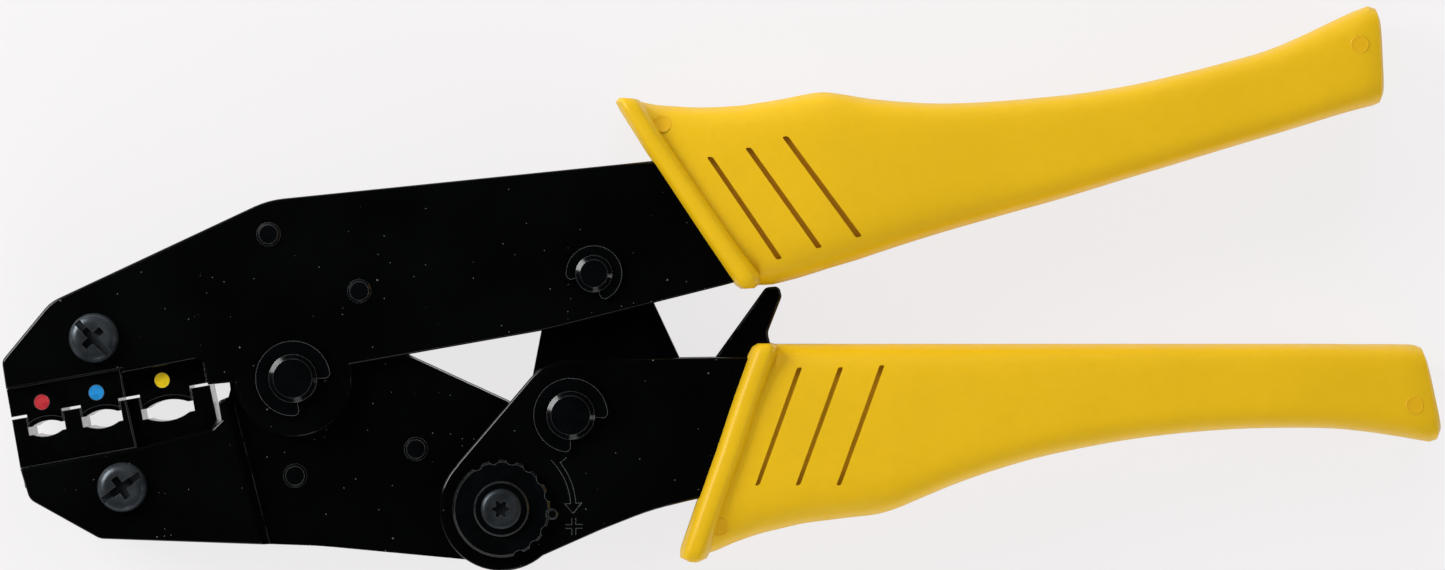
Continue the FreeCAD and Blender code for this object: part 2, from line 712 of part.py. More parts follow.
def joggle_corners(side):
    """Section across the joggle: the flared part outside and the flat part inside."""
    outer = "(%s) * %d"
    foot = "-bend_place"
    crest = "-bend_place - bend_width"
    return [
        ("-nose_reach - 5", outer % ("outer_face", side)),
        (crest, outer % ("outer_face", side)),
        (foot, outer % ("inner_face", side)),
        ("adjuster_along + 20", outer % ("inner_face", side)),
        ("adjuster_along + 20", outer % ("jaw_inner", side)),
        (foot + " - bend_shift", outer % ("jaw_inner", side)),
        (crest + " - bend_shift", outer % ("plate_gap / 2", side)),
        ("-nose_reach - 5", outer % ("plate_gap / 2", side)),
    ]


def make_jaw_plate(label, side):
    body = frame_body(label)
    section = new_sketch(body, role="XZ_Plane")
    turned = FreeCAD.Rotation(FreeCAD.Vector(0, 1, 0), value("bend_lean"))
    section.AttachmentOffset = FreeCAD.Placement(FreeCAD.Vector(), turned)
    section.setExpression("AttachmentOffset.Rotation.Angle", bound("bend_lean"))
    add_outline(section, joggle_corners(side))
    pad(body, section, "4 * nose_reach", True)
    trim = new_sketch(body)
    far = "3 * nose_reach"
    add_outline(trim, [("-" + far, "-" + far), (far, "-" + far), (far, far), ("-" + far, far)])
    add_outline(trim, jaw_corners())
    pocket(body, trim)
    foot = "jaw_inner" if side > 0 else "-inner_face"
    lobes = [("0", "0", "jaw_lobe"), ("adjuster_along", "-adjuster_down", "tail_lobe")]
    for lobe in lobes:
        blank = pad(body, circle_sketch(body, [lobe], foot), "plate_thick")
    round_rim(body, blank, ["outer_face" if side > 0 else "-outer_face"], "edge_round")
    holes = [("0", "0", "main_pin + pin_play"), (*LOWER_SCREW, "screw_shank"),
             ("adjuster_along", "-adjuster_down", "eccentric + eccentricity + 0.1")]
    pocket(body, circle_sketch(body, holes + rivet_holes(JAW_RIVETS)))


def make_lower_die():
    body = frame_body("lower_die")
    block = [
        ("-nose_reach", "lower_parting"),
        ("-nose_reach", "-window_foot - 3.0"),
        ("8.6 - nose_reach", "-window_foot - 10.0"),
        ("20 - nose_reach", "-window_foot - 10.0"),
        ("die_end - 1.6", "-window_foot - 4.5"),
        ("die_end - 0.6", "-window_foot + 0.5"),
        ("die_end + 0.6", "-4.3"),
        ("die_end + 0.4", "lower_parting"),
    ]
    pad(body, outline_sketch(body, block), "plate_gap", True)
    ledge = [
        ("-nose_reach", "lower_parting"),
        ("-nose_reach", "-window_foot + 0.05"),
        ("ledge_end + 0.4", "-window_foot + 0.15"),
        ("ledge_end", "lower_parting"),
    ]
    pad(body, outline_sketch(body, ledge), "2 * die_ledge", True)
    for middle, width, _, foot in nest_places():
        slot = nest_corners(middle, width, foot, "%s / 2" % width, "parting + 1", -1)
        pocket(body, outline_sketch(body, slot))
    pocket(body, circle_sketch(body, [(*LOWER_SCREW, "screw_shank")]))


# ---- moving handle ----

HANDLE_RIVETS = [("moving_grip_length * 0.64", "15.5"), ("moving_grip_length * 0.98", "18.0")]


def handle_tail():
    """Outline of the handle plates inside the moving grip, from the bottom to the top."""
    return [
        ("30.5", "1.6", "25"),
        ("45.0", "3.0", "30"),
        ("67.0", "8.2", "60"),
        ("15.5 + moving_grip_length", "15.6", "2.5"),
        ("15.5 + moving_grip_length", "21.3", "2.5"),
        ("45.0", "22.6", "30"),
        ("37.4", "23.2"),
    ]


def handle_corners():
    return [
        ("-1", "1 - handle_lobe"),
        ("5.5", "-7.6", "8"),
        ("15.2", "-3.3", "40"),
        ("22.8", "-0.3", "40"),
    ] + handle_tail() + [
        ("6.7", "knee_up + 8.45", "8"),
        ("-handle_lobe * 0.74", "handle_lobe * 0.68", "1"),
        ("-handle_lobe * 0.6", "0"),
    ]


def make_handle_plate(label, front):
    body = handle_body(label)
    holes = [("0", "0", "adjuster_end"), ("knee_along", "knee_up", "knee_pin"),
             ("pawl_along", "pawl_up", "pawl_pin"), (*post_place(), "spring_post")]
    holes += rivet_holes(HANDLE_RIVETS)
    if front:
        holes += [(*notch_place(0), "lock_radius")]
    outer_plate(body, handle_corners(), [("0", "0", "handle_lobe")], holes, front)


def notch_place(step):
    """Place of a notch in the adjusting wheel; the lock pin sits in notch 0."""
    reach = "(wheel_radius + notch_clear)"
    angle = "(notch_pitch * %d - notch_start)" % step
    return "%s * cos%s" % (reach, angle), "%s * sin%s" % (reach, angle)


def make_adjusting_pin():
    """Make the pin whose middle is eccentric to its ends."""
    body = handle_body("adjusting_pin")
    pad(body, circle_sketch(body, [("0", "0", "adjuster_end")]), "2 * outer_face", True)
    middle = circle_sketch(body, [("eccentricity", "0", "eccentric")])
    pad(body, middle, "plate_gap", True)
    head = circle_sketch(body, [("0", "0", "adjuster_end + 1.5")], "-outer_face - 1.6")
    head = pad(body, head, "1.6")
    round_rim(body, head, ["-outer_face - 1.6"], "0.5", "Chamfer")


def make_adjusting_wheel():
    """Make the star wheel, notched over ten of its seventeen places."""
    body = handle_body("adjusting_wheel")
    wheel = pad(body, circle_sketch(body, [("0", "0", "wheel_radius")], "outer_face"),
                "wheel_thick")
    round_rim(body, wheel, ["outer_face + wheel_thick"], "0.3", "Chamfer")
    notches = [(*notch_place(step), "notch_radius") for step in range(-3, 7)]
    pocket(body, circle_sketch(body, notches))


def make_adjuster_collar():
    body = handle_body("adjuster_collar")
    ring = [("0", "0", "collar_radius"), ("0", "0", "button_neck")]
    collar = pad(body, circle_sketch(body, ring, "wheel_top"), "collar_height")
    round_rim(body, collar, ["wheel_top + collar_height"], "0.2", "Chamfer")


def make_adjuster_screw():
    """Make the button screw with its six-lobe recess."""
    body = handle_body("adjuster_screw")
    foot = "wheel_top + collar_height"
    face = foot + " + button_height"
    pad(body, circle_sketch(body, [("0", "0", "button_neck")], "wheel_top"), "collar_height")
    head = pad(body, circle_sketch(body, [("0", "0", "button_radius")], foot), "button_height")
    DOC.recompute()
    edges = flat_circles(head.Shape, [value(face)], value("button_radius"))
    dress(body, "Fillet", head, edges, "button_height - 0.3")
    lobes = [("0", "0", "0.95")]
    lobes += [("1.05 * cos(%d)" % turn, "1.05 * sin(%d)" % turn, "0.32")
              for turn in range(0, FULL_TURN, 60)]
    for lobe in lobes:
        pocket(body, circle_sketch(body, [lobe], face), "button_height - 0.2", both_ways=False)


def make_lock_pin():
    body = handle_body("lock_pin")
    sketch = circle_sketch(body, [(*notch_place(0), "lock_radius")], "plate_gap / 2")
    pin = pad(body, sketch, "plate_thick + wheel_thick + 0.2")
    round_rim(body, pin, ["wheel_top + 0.2"], "0.2", "Chamfer")


def make_pawl_pin():
    body = handle_body("pawl_pin")
    sketch = circle_sketch(body, [("pawl_along", "pawl_up", "pawl_pin")])
    pad(body, sketch, "2 * outer_face", True)


# ---- toggle link and pawl ----

def make_toggle_link():
    """Make the link with its eyes at both pins and the ratchet sector round the knee pin."""
    body = new_body("toggle_link", "link_x", "link_y", "link_lean")
    knee = "-link_length"
    web = [
        ("-link_width", "0"),
        ("-link_knee", knee),
        ("0", "%s - 4" % knee),
        ("sector_tip * 0.52", "%s - sector_tip * 0.62" % knee, "1.5"),
        ("(sector_tip - tooth_depth) * cos(38)", "%s - (sector_tip - tooth_depth) * sin(38)" % knee),
        ("(sector_tip - tooth_depth) * 1.03", "%s - 4.5" % knee),
        ("(sector_tip - tooth_depth) * 1.02", "%s + 4.5" % knee),
        ("(sector_tip + 0.4) * cos(24)", "%s + (sector_tip + 0.4) * sin(24)" % knee),
        ("(sector_tip + 0.4) * cos(36)", "%s + (sector_tip + 0.4) * sin(36)" % knee, "1.2"),
        ("link_width + 0.2", "1.6", "2"),
    ]
    pad(body, outline_sketch(body, web), "sector_thick", True)
    eyes = [("0", "0", "link_width"), ("0", knee, "link_knee")]
    for eye in eyes:
        pad(body, circle_sketch(body, [eye]), "2 * inner_face", True)
    cut_teeth(body, knee)
    pocket(body, circle_sketch(body, [("0", "0", "link_pin + pin_play"),
                                      ("0", knee, "knee_pin + knee_play")]))


def cut_teeth(body, knee):
    """Trim the sector round, then add its saw teeth as a ring of wedges."""
    root = "(sector_tip - tooth_depth)"
    for step in range(9):
        back = "(8 - tooth_pitch * %d)" % step
        tip = "(8 - tooth_pitch * %d - tooth_pitch / 2)" % step
        front = "(8 - tooth_pitch * %d - tooth_pitch * 0.98)" % step
        wedge = [
            ("(%s - 1) * cos%s" % (root, back), "%s + (%s - 1) * sin%s" % (knee, root, back)),
            ("(%s - 1) * cos%s" % (root, front), "%s + (%s - 1) * sin%s" % (knee, root, front)),
            ("%s * cos%s" % (root, front), "%s + %s * sin%s" % (knee, root, front)),
            ("sector_tip * cos%s" % tip, "%s + sector_tip * sin%s" % (knee, tip)),
            ("%s * cos%s" % (root, back), "%s + %s * sin%s" % (knee, root, back)),
        ]
        pad(body, outline_sketch(body, wedge), "sector_thick", True)


def make_pawl():
    """Make the pawl with its nose towards the teeth and its release lever."""
    body = new_body("ratchet_pawl", "hinge_x + pawl_along", "hinge_y + pawl_up")
    reach_x = "(pawl_along - knee_along)"
    nose = "(%s - sector_tip - nose_play)" % reach_x
    plate = [
        ("-" + nose, "-1.3", "0.4"),
        ("-%s + 3.5" % nose, "-4.2", "1.5"),
        ("1.0", "-5.0", "2"),
        ("5.0", "-3.0", "2"),
        ("5.0", "4.0", "3"),
        ("1.7", "9.4", "1"),
        ("1.3", "11.0", "2"),
        ("3.5", "16.6", "1.2"),
        ("3.1", "18.2", "0.9"),
        ("1.0", "18.0", "1.2"),
        ("-7.0", "6.9", "4"),
        ("-%s + 0.3" % nose, "0.6", "0.4"),
    ]
    pawl = pad(body, outline_sketch(body, plate), "pawl_thick", True)
    round_rim(body, pawl, ["pawl_thick / 2", "-pawl_thick / 2"], "0.3", "Chamfer")
    pocket(body, circle_sketch(body, [("0", "0", "pawl_pin + pin_play")]))


def make_pawl_spring():
    """Make the small coil spring from the pawl's heel to its post."""
    coil = value("pawl_coil")
    wire = value("pawl_wire")
    helix = Part.makeHelix(1.0, value("spring_length"), coil)
    section = Part.Wire(Part.makeCircle(wire, FreeCAD.Vector(coil, 0, 0),
                                        FreeCAD.Vector(0, 1, 0)))
    spring = Part.Wire(helix.Edges).makePipeShell([section], True, True)
    spring.rotate(FreeCAD.Vector(), FreeCAD.Vector(0, 1, 0), 90)
    start = value("pawl_along + spring_start")
    spring.translate(FreeCAD.Vector(start, value("pawl_up") + 0.5, 0))
    feature = DOC.addObject("Part::Feature", "pawl_spring")
    feature.Label = "pawl_spring"
    feature.Shape = Part.makeCompound([spring])
    bind_place(feature, "hinge_x", "hinge_y", "0")


def post_place():
    """Place of the post at the far end of the pawl spring."""
    return "pawl_along + spring_start + spring_length + spring_post + 0.3", "pawl_up + 0.5"


def make_spring_post():
    body = handle_body("spring_post")
    pad(body, circle_sketch(body, [(*post_place(), "spring_post")]), "2 * outer_face", True)


# ---- grips ----

def open_rim(shape, corners, height):
    """Name a rim's edges, without the one between the outline's last corner and its first."""
    ends = [FreeCAD.Vector(value(c[0]), value(c[1]), value(height)) for c in (corners[-1], corners[0])]
    middle = Part.Vertex((ends[0] + ends[1]) / 2)
    return [name for name in rim_edges(shape, height)
            if shape.getElement(name).distToShape(middle)[0] > 1e-3]


def make_grip(body, outline, flange, cavity):
    """Mould a grip: body, flange and the cavity that the plates fill."""
    blank = pad(body, outline_sketch(body, outline), "grip_thick", True)
    DOC.recompute()
    edges = open_rim(blank.Shape, outline, "grip_thick / 2")
    edges += open_rim(blank.Shape, outline, "-grip_thick / 2")
    dress(body, "Fillet", blank, edges, "grip_round")
    bead = pad(body, outline_sketch(body, flange), "flange_thick", True)
    round_rim(body, bead, ["flange_thick / 2", "-flange_thick / 2"], "flange_round")
    pocket(body, outline_sketch(body, cavity), "2 * outer_face")


def cut_slots(body, top, foot, pitch):
    """Cut three narrow slots in each face of a grip."""
    for side in (1, -1):
        height = "grip_thick / 2" if side > 0 else "-grip_thick / 2"
        for step in range(3):
            sketch = new_sketch(body, height)
            add_slot(sketch, top, foot, pitch, step)
            pocket(body, sketch, "slot_depth", upwards=side < 0, both_ways=False)


def add_slot(sketch, top, foot, pitch, step):
    """Draw one slanted slot, moved along by whole pitches."""
    x1, y1 = ("%s + %s * %d" % (a, b, step) for a, b in zip(top, pitch))
    x2, y2 = ("%s + %s * %d" % (a, b, step) for a, b in zip(foot, pitch))
    lean = math.atan2(value(y2) - value(y1), value(x2) - value(x1))
    dx = "slot_width / 2 * %.4f" % -math.sin(lean)
    dy = "slot_width / 2 * %.4f" % math.cos(lean)
    add_outline(sketch, [
        ("%s - %s" % (x1, dx), "%s - %s" % (y1, dy), "slot_width * 0.49"),
        ("%s - %s" % (x2, dx), "%s - %s" % (y2, dy), "slot_width * 0.49"),
        ("%s + %s" % (x2, dx), "%s + %s" % (y2, dy), "slot_width * 0.49"),
        ("%s + %s" % (x1, dx), "%s + %s" % (y1, dy), "slot_width * 0.49"),
    ])


def sink_mould_marks(body, places):
    for x, y in places:
        for side in (1, -1):
            height = "grip_thick / 2" if side > 0 else "-grip_thick / 2"
            sketch = circle_sketch(body, [(x, y, "mould_mark")], height)
            pocket(body, sketch, "0.5", upwards=side < 0, both_ways=False)


def make_fixed_grip():
    """Make the fixed grip; its long bends ease off with the square of its length."""
    body = frame_body("fixed_grip")
    end = "(69.5 + fixed_grip_length)"
    outline = [
        ("57.6", "33.2"),
        ("71.5", "28.4", "40"),
        ("87.0", "29.6", "7"),
        ("69.5 + fixed_grip_length * 0.3414", "23.6", "fixed_grip_length ^ 2 / 180"),
        ("69.5 + fixed_grip_length * 0.5673", "21.2", "fixed_grip_length ^ 2 / 120"),
        ("%s + 0.4" % end, "28.2", "grip_round + 0.2"),
        ("%s - 1.5" % end, "12.7", "grip_round + 0.2"),
        ("79.0", "2.0", "20"),
        ("75.5", "1.3", "6"),
        ("72.0", "2.2"),
    ]
    flange = [
        ("55.3", "35.2", "flange_round + 0.1"),
        ("70.7", "0.6", "flange_round + 0.1"),
        ("74.4", "2.1", "flange_round + 0.1"),
        ("60.2", "33.0", "flange_round + 0.1"),
    ]
    cavity = [
        ("link_pin_along - 2", "link_pin_up + 16.4"),
        *frame_tail(),
        ("link_pin_along + 6.8", "link_pin_up - 6.4"),
    ]
    make_grip(body, outline, flange, cavity)
    cut_slots(body, ("69.0", "21.9"), ("76.6", "5.4"), ("6.0", "0.6"))
    sink_mould_marks(body, [("62.9", "28.0"), ("%s - 3.8" % end, "22.0")])
    relief = [("70.5", "-2"), ("79", "-2"), ("79", "5.5"), ("70.5", "5.5")]
    pocket(body, outline_sketch(body, relief), "pawl_thick + 0.8")


def make_moving_grip():
    body = handle_body("moving_grip")
    end = "(39.2 + moving_grip_length)"
    outline = [
        ("41.4", "25.1"),
        ("%s - 0.4" % end, "25.1", "grip_round + 0.2"),
        ("%s + 2.5" % end, "10.0", "grip_round + 0.2"),
        ("%s - 24" % end, "13.0", "120"),
        ("78.0", "7.4", "60"),
        ("59.6", "-1.2", "6"),
        ("43.0", "-2.4", "25"),
        ("30.0", "-7.6"),
    ]
    flange = [
        ("38.9", "25.3", "flange_round + 0.1"),
        ("27.2", "-8.0", "flange_round + 0.1"),
        ("31.6", "-9.0", "flange_round + 0.1"),
        ("43.6", "25.3", "flange_round + 0.1"),
    ]
    cavity = [
        ("20", "0.2"),
        *handle_tail(),
        ("20", "23.2"),
    ]
    make_grip(body, outline, flange, cavity)
    cut_slots(body, ("45.5", "21.2"), ("39.2", "4.0"), ("slot_pitch", "0"))
    sink_mould_marks(body, [("33.4", "-3.4"), ("%s - 1.4" % end, "16.0")])
    mouth = [("30", "21"), ("50", "21"), ("50", "30"), ("30", "30")]
    pocket(body, outline_sketch(body, mouth), "pawl_thick + 1.2")


def main():
    fill_sheet()
    make_frame_plate("frame_plate_front", True)
    make_frame_plate("frame_plate_back", False)
    make_frame_spacers()
    riveted("frame_rivets", frame_body, FRAME_RIVETS, "outer_face", "rivet_head")
    riveted("frame_tail_rivets", frame_body, TAIL_RIVETS, "outer_face", "0")
    make_upper_die()
    make_marks()
    make_die_screw("upper_die_screw", UPPER_SCREW, -55)
    make_pin("main_pivot_pin", "0", "0", "0", "main_pin", "outer_face")
    make_rings("main_pivot_rings", "0", "0", "main_pin", "main_ring", -79, 0)
    make_pin("link_pin", "link_x", "link_y", "0", "link_pin", "outer_face")
    make_rings("link_pin_rings", "link_x", "link_y", "link_pin", "link_ring", 195, 285)
    make_pivot_bush()
    make_opening_spring()
    make_fixed_grip()
    make_jaw_plate("jaw_plate_front", 1)
    make_jaw_plate("jaw_plate_back", -1)
    make_spacer(frame_body("jaw_spacer"), JAW_RIVETS, "jaw_spacer", "2 * jaw_inner")
    riveted("jaw_rivets", frame_body, JAW_RIVETS, "inner_face", "rivet_head")
    make_lower_die()
    make_die_screw("lower_die_screw", LOWER_SCREW, 25)
    make_handle_plate("handle_plate_front", True)
    make_handle_plate("handle_plate_back", False)
    make_spacer(handle_body("handle_spacer"), HANDLE_RIVETS, "handle_spacer", "plate_gap")
    riveted("handle_rivets", handle_body, HANDLE_RIVETS, "outer_face", "0")
    make_pin("knee_pin", "knee_x", "knee_y", "0", "knee_pin", "outer_face")
    make_rings("knee_pin_rings", "knee_x", "knee_y", "knee_pin", "knee_ring", -90, -5)
    make_adjusting_pin()
    make_adjusting_wheel()
    make_adjuster_collar()
    make_adjuster_screw()
    make_lock_pin()
    make_pawl_pin()
    make_pawl_spring()
    make_spring_post()
    make_moving_grip()
    make_toggle_link()
    make_pawl()
    DOC.recompute()
    set_origin()
    check_document()
    write_parts()


def set_origin():
    """Put the origin under the middle of the assembly's box, on the surface it lies on."""
    box = FreeCAD.BoundBox()
    for piece in PIECES:
        box.add(piece.Shape.optimalBoundingBox(False))
    SHEET.set(SHEET.getCellFromAlias("shift_x"), "%.4f" % -box.Center.x)
    SHEET.set(SHEET.getCellFromAlias("shift_y"), "%.4f" % -box.Center.y)
    SHEET.set(SHEET.getCellFromAlias("mid_height"), "%.4f" % -box.ZMin)
    DOC.recompute()


def check_document():
    """Stop if anything failed, is not a sound solid, or cuts nothing."""
    for item in DOC.Objects:
        if "Invalid" in item.State or "Error" in item.State:
            raise RuntimeError("%s (%s) failed: %s" % (item.Name, item.Label, item.State))
        if item.TypeId == "PartDesign::Pocket":
            if item.Shape.Volume > item.BaseFeature.Shape.Volume - 1e-3:
                raise RuntimeError("%s cuts nothing" % item.Name)
    for piece in PIECES:
        if piece.Shape.isNull() or not piece.Shape.isValid():
            raise RuntimeError("%s has no sound shape" % piece.Label)


def write_parts():
    os.makedirs("parts", exist_ok=True)
    for piece in PIECES:
        piece.Shape.exportStep("parts/%s.step" % piece.Label)
        print(piece.Label, len(piece.Shape.Solids), round(piece.Shape.Volume, 1))


main()
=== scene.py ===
import math

import bmesh
import bpy
from bpy.props import FloatProperty, FloatVectorProperty, PointerProperty
from mathutils import Matrix, Vector


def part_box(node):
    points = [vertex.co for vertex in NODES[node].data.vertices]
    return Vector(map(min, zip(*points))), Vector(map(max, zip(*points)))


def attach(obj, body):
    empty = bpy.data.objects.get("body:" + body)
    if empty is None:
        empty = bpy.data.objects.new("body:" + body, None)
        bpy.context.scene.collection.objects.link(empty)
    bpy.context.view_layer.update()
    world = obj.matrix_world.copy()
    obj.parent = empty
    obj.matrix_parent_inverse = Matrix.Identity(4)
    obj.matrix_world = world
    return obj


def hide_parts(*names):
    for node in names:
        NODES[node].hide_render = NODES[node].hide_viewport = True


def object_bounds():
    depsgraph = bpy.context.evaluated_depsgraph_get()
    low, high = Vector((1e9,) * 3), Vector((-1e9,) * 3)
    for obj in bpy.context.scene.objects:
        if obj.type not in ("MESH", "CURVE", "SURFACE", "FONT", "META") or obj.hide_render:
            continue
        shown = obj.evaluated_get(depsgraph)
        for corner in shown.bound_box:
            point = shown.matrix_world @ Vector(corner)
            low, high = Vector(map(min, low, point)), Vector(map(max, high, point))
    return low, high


bl_info = {
    "name": "Ratchet Crimping Plier",
    "version": (1, 0, 0),
    "blender": (4, 5, 0),
    "location": "View3D > Sidebar > Plier",
    "description": "Finishes and moulded grips for a ratchet crimping plier",
    "category": "Add Mesh",
}

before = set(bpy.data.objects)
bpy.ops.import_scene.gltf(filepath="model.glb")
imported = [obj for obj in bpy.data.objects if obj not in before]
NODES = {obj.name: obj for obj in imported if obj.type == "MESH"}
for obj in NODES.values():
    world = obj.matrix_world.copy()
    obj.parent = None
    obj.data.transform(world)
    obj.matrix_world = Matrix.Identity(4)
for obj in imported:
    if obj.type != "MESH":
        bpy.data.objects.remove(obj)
CAD_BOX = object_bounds()
MM = 0.001
PIVOT = sum(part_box("main_pivot_pin"), Vector()) / 2
OVERLAP = 0.01 * MM  # how far a raised line reaches into the plate below it

PLATES = ("frame_plate_front", "frame_plate_back", "jaw_plate_front", "jaw_plate_back",
          "handle_plate_front", "handle_plate_back", "toggle_link", "ratchet_pawl")
DIES = ("upper_die", "lower_die")
RINGS = ("main_pivot_rings", "link_pin_rings", "knee_pin_rings")
PINS = ("main_pivot_pin", "link_pin", "knee_pin", "adjusting_pin", "pawl_pin", "lock_pin",
        "frame_rivets", "frame_tail_rivets", "jaw_rivets", "handle_rivets",
        "adjusting_wheel", "adjuster_collar")
SCREWS = ("upper_die_screw", "lower_die_screw")
SPRINGS = ("opening_spring", "pawl_spring")
INNER_STEEL = ("frame_spacer", "frame_tail_spacer", "jaw_spacer", "handle_spacer",
               "pivot_bush", "spring_post")
DOTS = ("red_mark", "blue_mark", "yellow_mark")

# Colours of dust, and of lighter edges: black rubbed thin there, and painted highlight along the
# rounded edges.
DUST = (0.13, 0.135, 0.14)
DIE_EDGE_WEAR_AND_HIGHLIGHT = (0.13, 0.135, 0.14)
PIN_EDGE_WEAR_AND_HIGHLIGHT = (0.14, 0.145, 0.15)
RING_EDGE_WEAR_AND_HIGHLIGHT = (0.15, 0.155, 0.16)
SCREW_EDGE_WEAR_AND_HIGHLIGHT = (0.16, 0.175, 0.19)
BUTTON_EDGE_WEAR_AND_HIGHLIGHT = (0.13, 0.14, 0.15)
STAMP_EDGE_WEAR_AND_HIGHLIGHT = (0.16, 0.165, 0.17)

# Rings along each grip, from the flange to the end: upper point, lower point and share of the
# thickness, in millimetres from the main pivot.
FIXED_RINGS = (
    ((51.3, 42.7), (70.0, 14.3), 0.97), ((53.6, 42.4), (72.2, 14.3), 0.985),
    ((55.2, 42.05), (73.6, 14.4), 0.995), ((56.6, 41.9), (74.9, 14.7), 1),
    ((58.0, 41.8), (76.2, 15.05), 1), ((58.88, 41.75), (77.08, 15.27), 1),
    ((61.8, 41.6), (79.8, 16.1), 1),
    ((64.7, 41.65), (82.3, 16.9), 1), ((65.58, 41.7), (83.18, 17.16), 1),
    ((68.6, 41.9), (86.0, 18.0), 1),
    ((71.0, 42.25), (88.3, 18.75), 1), ((71.88, 42.38), (89.18, 19.06), 1),
    ((75.0, 42.9), (92.0, 20.0), 1), ((78.5, 43.6), (94.8, 20.9), 1),
    ((81.2, 43.95), (97.0, 21.6), 1), ((84.0, 43.65), (99.3, 22.3), 1),
    ((88.0, 43.0), (102.4, 23.2), 1), ((93.5, 42.45), (106.6, 24.4), 1),
    ((99.5, 42.2), (111.2, 25.7), 1), ((106.5, 42.45), (116.6, 27.2), 1),
    ((114.0, 43.05), (122.6, 29.0), 1), ((121.5, 43.85), (128.6, 30.85), 1),
    ((129.0, 45.1), (134.8, 32.7), 1), ((136.2, 46.75), (141.0, 34.6), 1),
    ((143.4, 48.6), (147.0, 36.4), 1), ((149.6, 50.4), (152.6, 38.05), 1),
    ((155.2, 52.75), (157.6, 39.6), 1), ((159.6, 54.85), (161.6, 40.8), 1),
    ((162.9, 56.4), (164.5, 41.6), 1), ((164.9, 57.15), (165.9, 41.95), 0.985),
    ((166.1, 56.8), (166.8, 42.35), 0.95), ((166.6, 55.6), (167.2, 43.3), 0.87))
MOVING_RINGS = (
    ((72.0, 5.2), (61.3, -27.4), 0.97), ((73.9, 5.2), (63.4, -27.0), 0.985),
    ((75.4, 5.2), (64.9, -26.5), 0.995), ((76.8, 5.2), (66.2, -25.9), 1),
    ((78.5, 5.2), (67.6, -25.3), 1), ((79.26, 5.2), (68.32, -25.03), 1),
    ((82.1, 5.2), (71.3, -24.0), 1),
    ((84.8, 5.2), (74.5, -23.2), 1), ((85.56, 5.2), (75.22, -23.02), 1),
    ((88.3, 5.2), (78.2, -22.35), 1),
    ((91.0, 5.2), (81.2, -21.95), 1), ((91.76, 5.2), (81.92, -21.86), 1),
    ((95.0, 5.2), (85.6, -21.4), 1), ((98.0, 5.2), (89.4, -20.95), 1),
    ((100.5, 5.2), (92.4, -20.1), 1), ((103.5, 5.2), (96.0, -18.6), 1),
    ((107.5, 5.2), (101.0, -16.5), 1), ((112.0, 5.2), (106.6, -14.5), 1),
    ((118.0, 5.2), (113.6, -12.4), 1), ((124.5, 5.2), (121.3, -10.7), 1),
    ((131.0, 5.2), (128.7, -9.4), 1), ((138.0, 5.2), (136.5, -8.45), 1),
    ((145.0, 5.2), (144.5, -7.85), 1), ((152.0, 5.2), (152.0, -7.65), 1),
    ((158.5, 5.2), (159.5, -7.75), 1), ((164.5, 5.15), (166.2, -8.45), 1),
    ((169.5, 5.15), (171.8, -9.35), 1), ((172.0, 5.1), (174.4, -9.8), 0.985),
    ((173.1, 4.7), (175.6, -9.4), 0.95), ((173.6, 3.5), (176.1, -8.2), 0.87))
# Slots: the ring before the slot, and its two ends as shares of the way down the ring.
FIXED_SLOTS = ((4, 0.296, 0.883), (7, 0.259, 0.880), (10, 0.226, 0.882))
MOVING_SLOTS = ((4, 0.116, 0.710), (7, 0.123, 0.761), (10, 0.117, 0.795))
# Flange beads: outer point, inner point and share of the thickness.
FIXED_BEAD = (
    ((68.7, 13.7), (70.7, 13.8), 0.90), ((67.9, 14.2), (71.5, 14.5), 0.97),
    ((67.1, 15.2), (71.8, 15.9), 1), ((62.5, 22.0), (67.2, 22.3), 1),
    ((58.0, 28.8), (62.7, 28.9), 1), ((53.7, 35.3), (58.4, 35.2), 1),
    ((50.0, 41.2), (54.7, 40.6), 1), ((49.4, 42.4), (54.0, 41.8), 0.97),
    ((49.9, 43.0), (52.9, 42.75), 0.90))
MOVING_BEAD = (
    ((60.3, -28.0), (62.2, -28.2), 0.90), ((59.3, -27.5), (63.4, -27.6), 0.97),
    ((59.3, -26.4), (64.1, -26.2), 1), ((62.0, -18.6), (66.8, -18.5), 1),
    ((64.7, -11.0), (69.5, -11.0), 1), ((67.3, -3.2), (72.0, -3.2), 1),
    ((69.8, 3.7), (74.3, 3.6), 1), ((70.4, 4.8), (74.3, 4.75), 0.97),
    ((71.2, 5.3), (73.6, 5.3), 0.90))
# Grooves that the pawl moves in: two corners, and how far up the floor lies.
FIXED_MOUTH = ((68.4, 10), (77.4, 17.6), 17.0)
MOVING_MOUTH = ((62.0, 1.1), (82.0, 12), 1.2)
# Round moulding marks.
FIXED_MARKS = ((56.6, 39.0), (163.3, 51.1))
MOVING_MARKS = ((171.7, -4.1), (65.4, -22.8))
GRIPS = (
    ("fixed_grip", "frame", FIXED_RINGS, FIXED_SLOTS, FIXED_BEAD, FIXED_MOUTH, FIXED_MARKS),
    ("moving_grip", "moving_handle", MOVING_RINGS, MOVING_SLOTS, MOVING_BEAD, MOVING_MOUTH,
     MOVING_MARKS))
END_RINGS = 3  # rings at each end of a grip that lie close enough as they are

# A section's flat side and its curved quarter.
GRIP_SIDE = (0.0, 0.14, 0.28, 0.42, 0.54)
BEAD_SIDE = (0.0, 0.16, 0.32, 0.48, 0.64)
SIDE_DRAFT = 0.012
CURVE_START = 24
CURVE_STEPS = 12
FACE_HEIGHT = 0.6  # points higher than this belong to a grip's face

# A moulding mark's profile: shares of its radius, and heights in millimetres.
MARK_PROFILE = ((1.12, -0.03), (1.04, 0.05), (0.96, 0.06), (0.88, 0.02), (0.7, 0.012),
                (0.0, 0.012))
MARK_STEPS = 32
CLEAR_OF_GRIP = 20  # millimetres above or below the pivot's middle, past either face

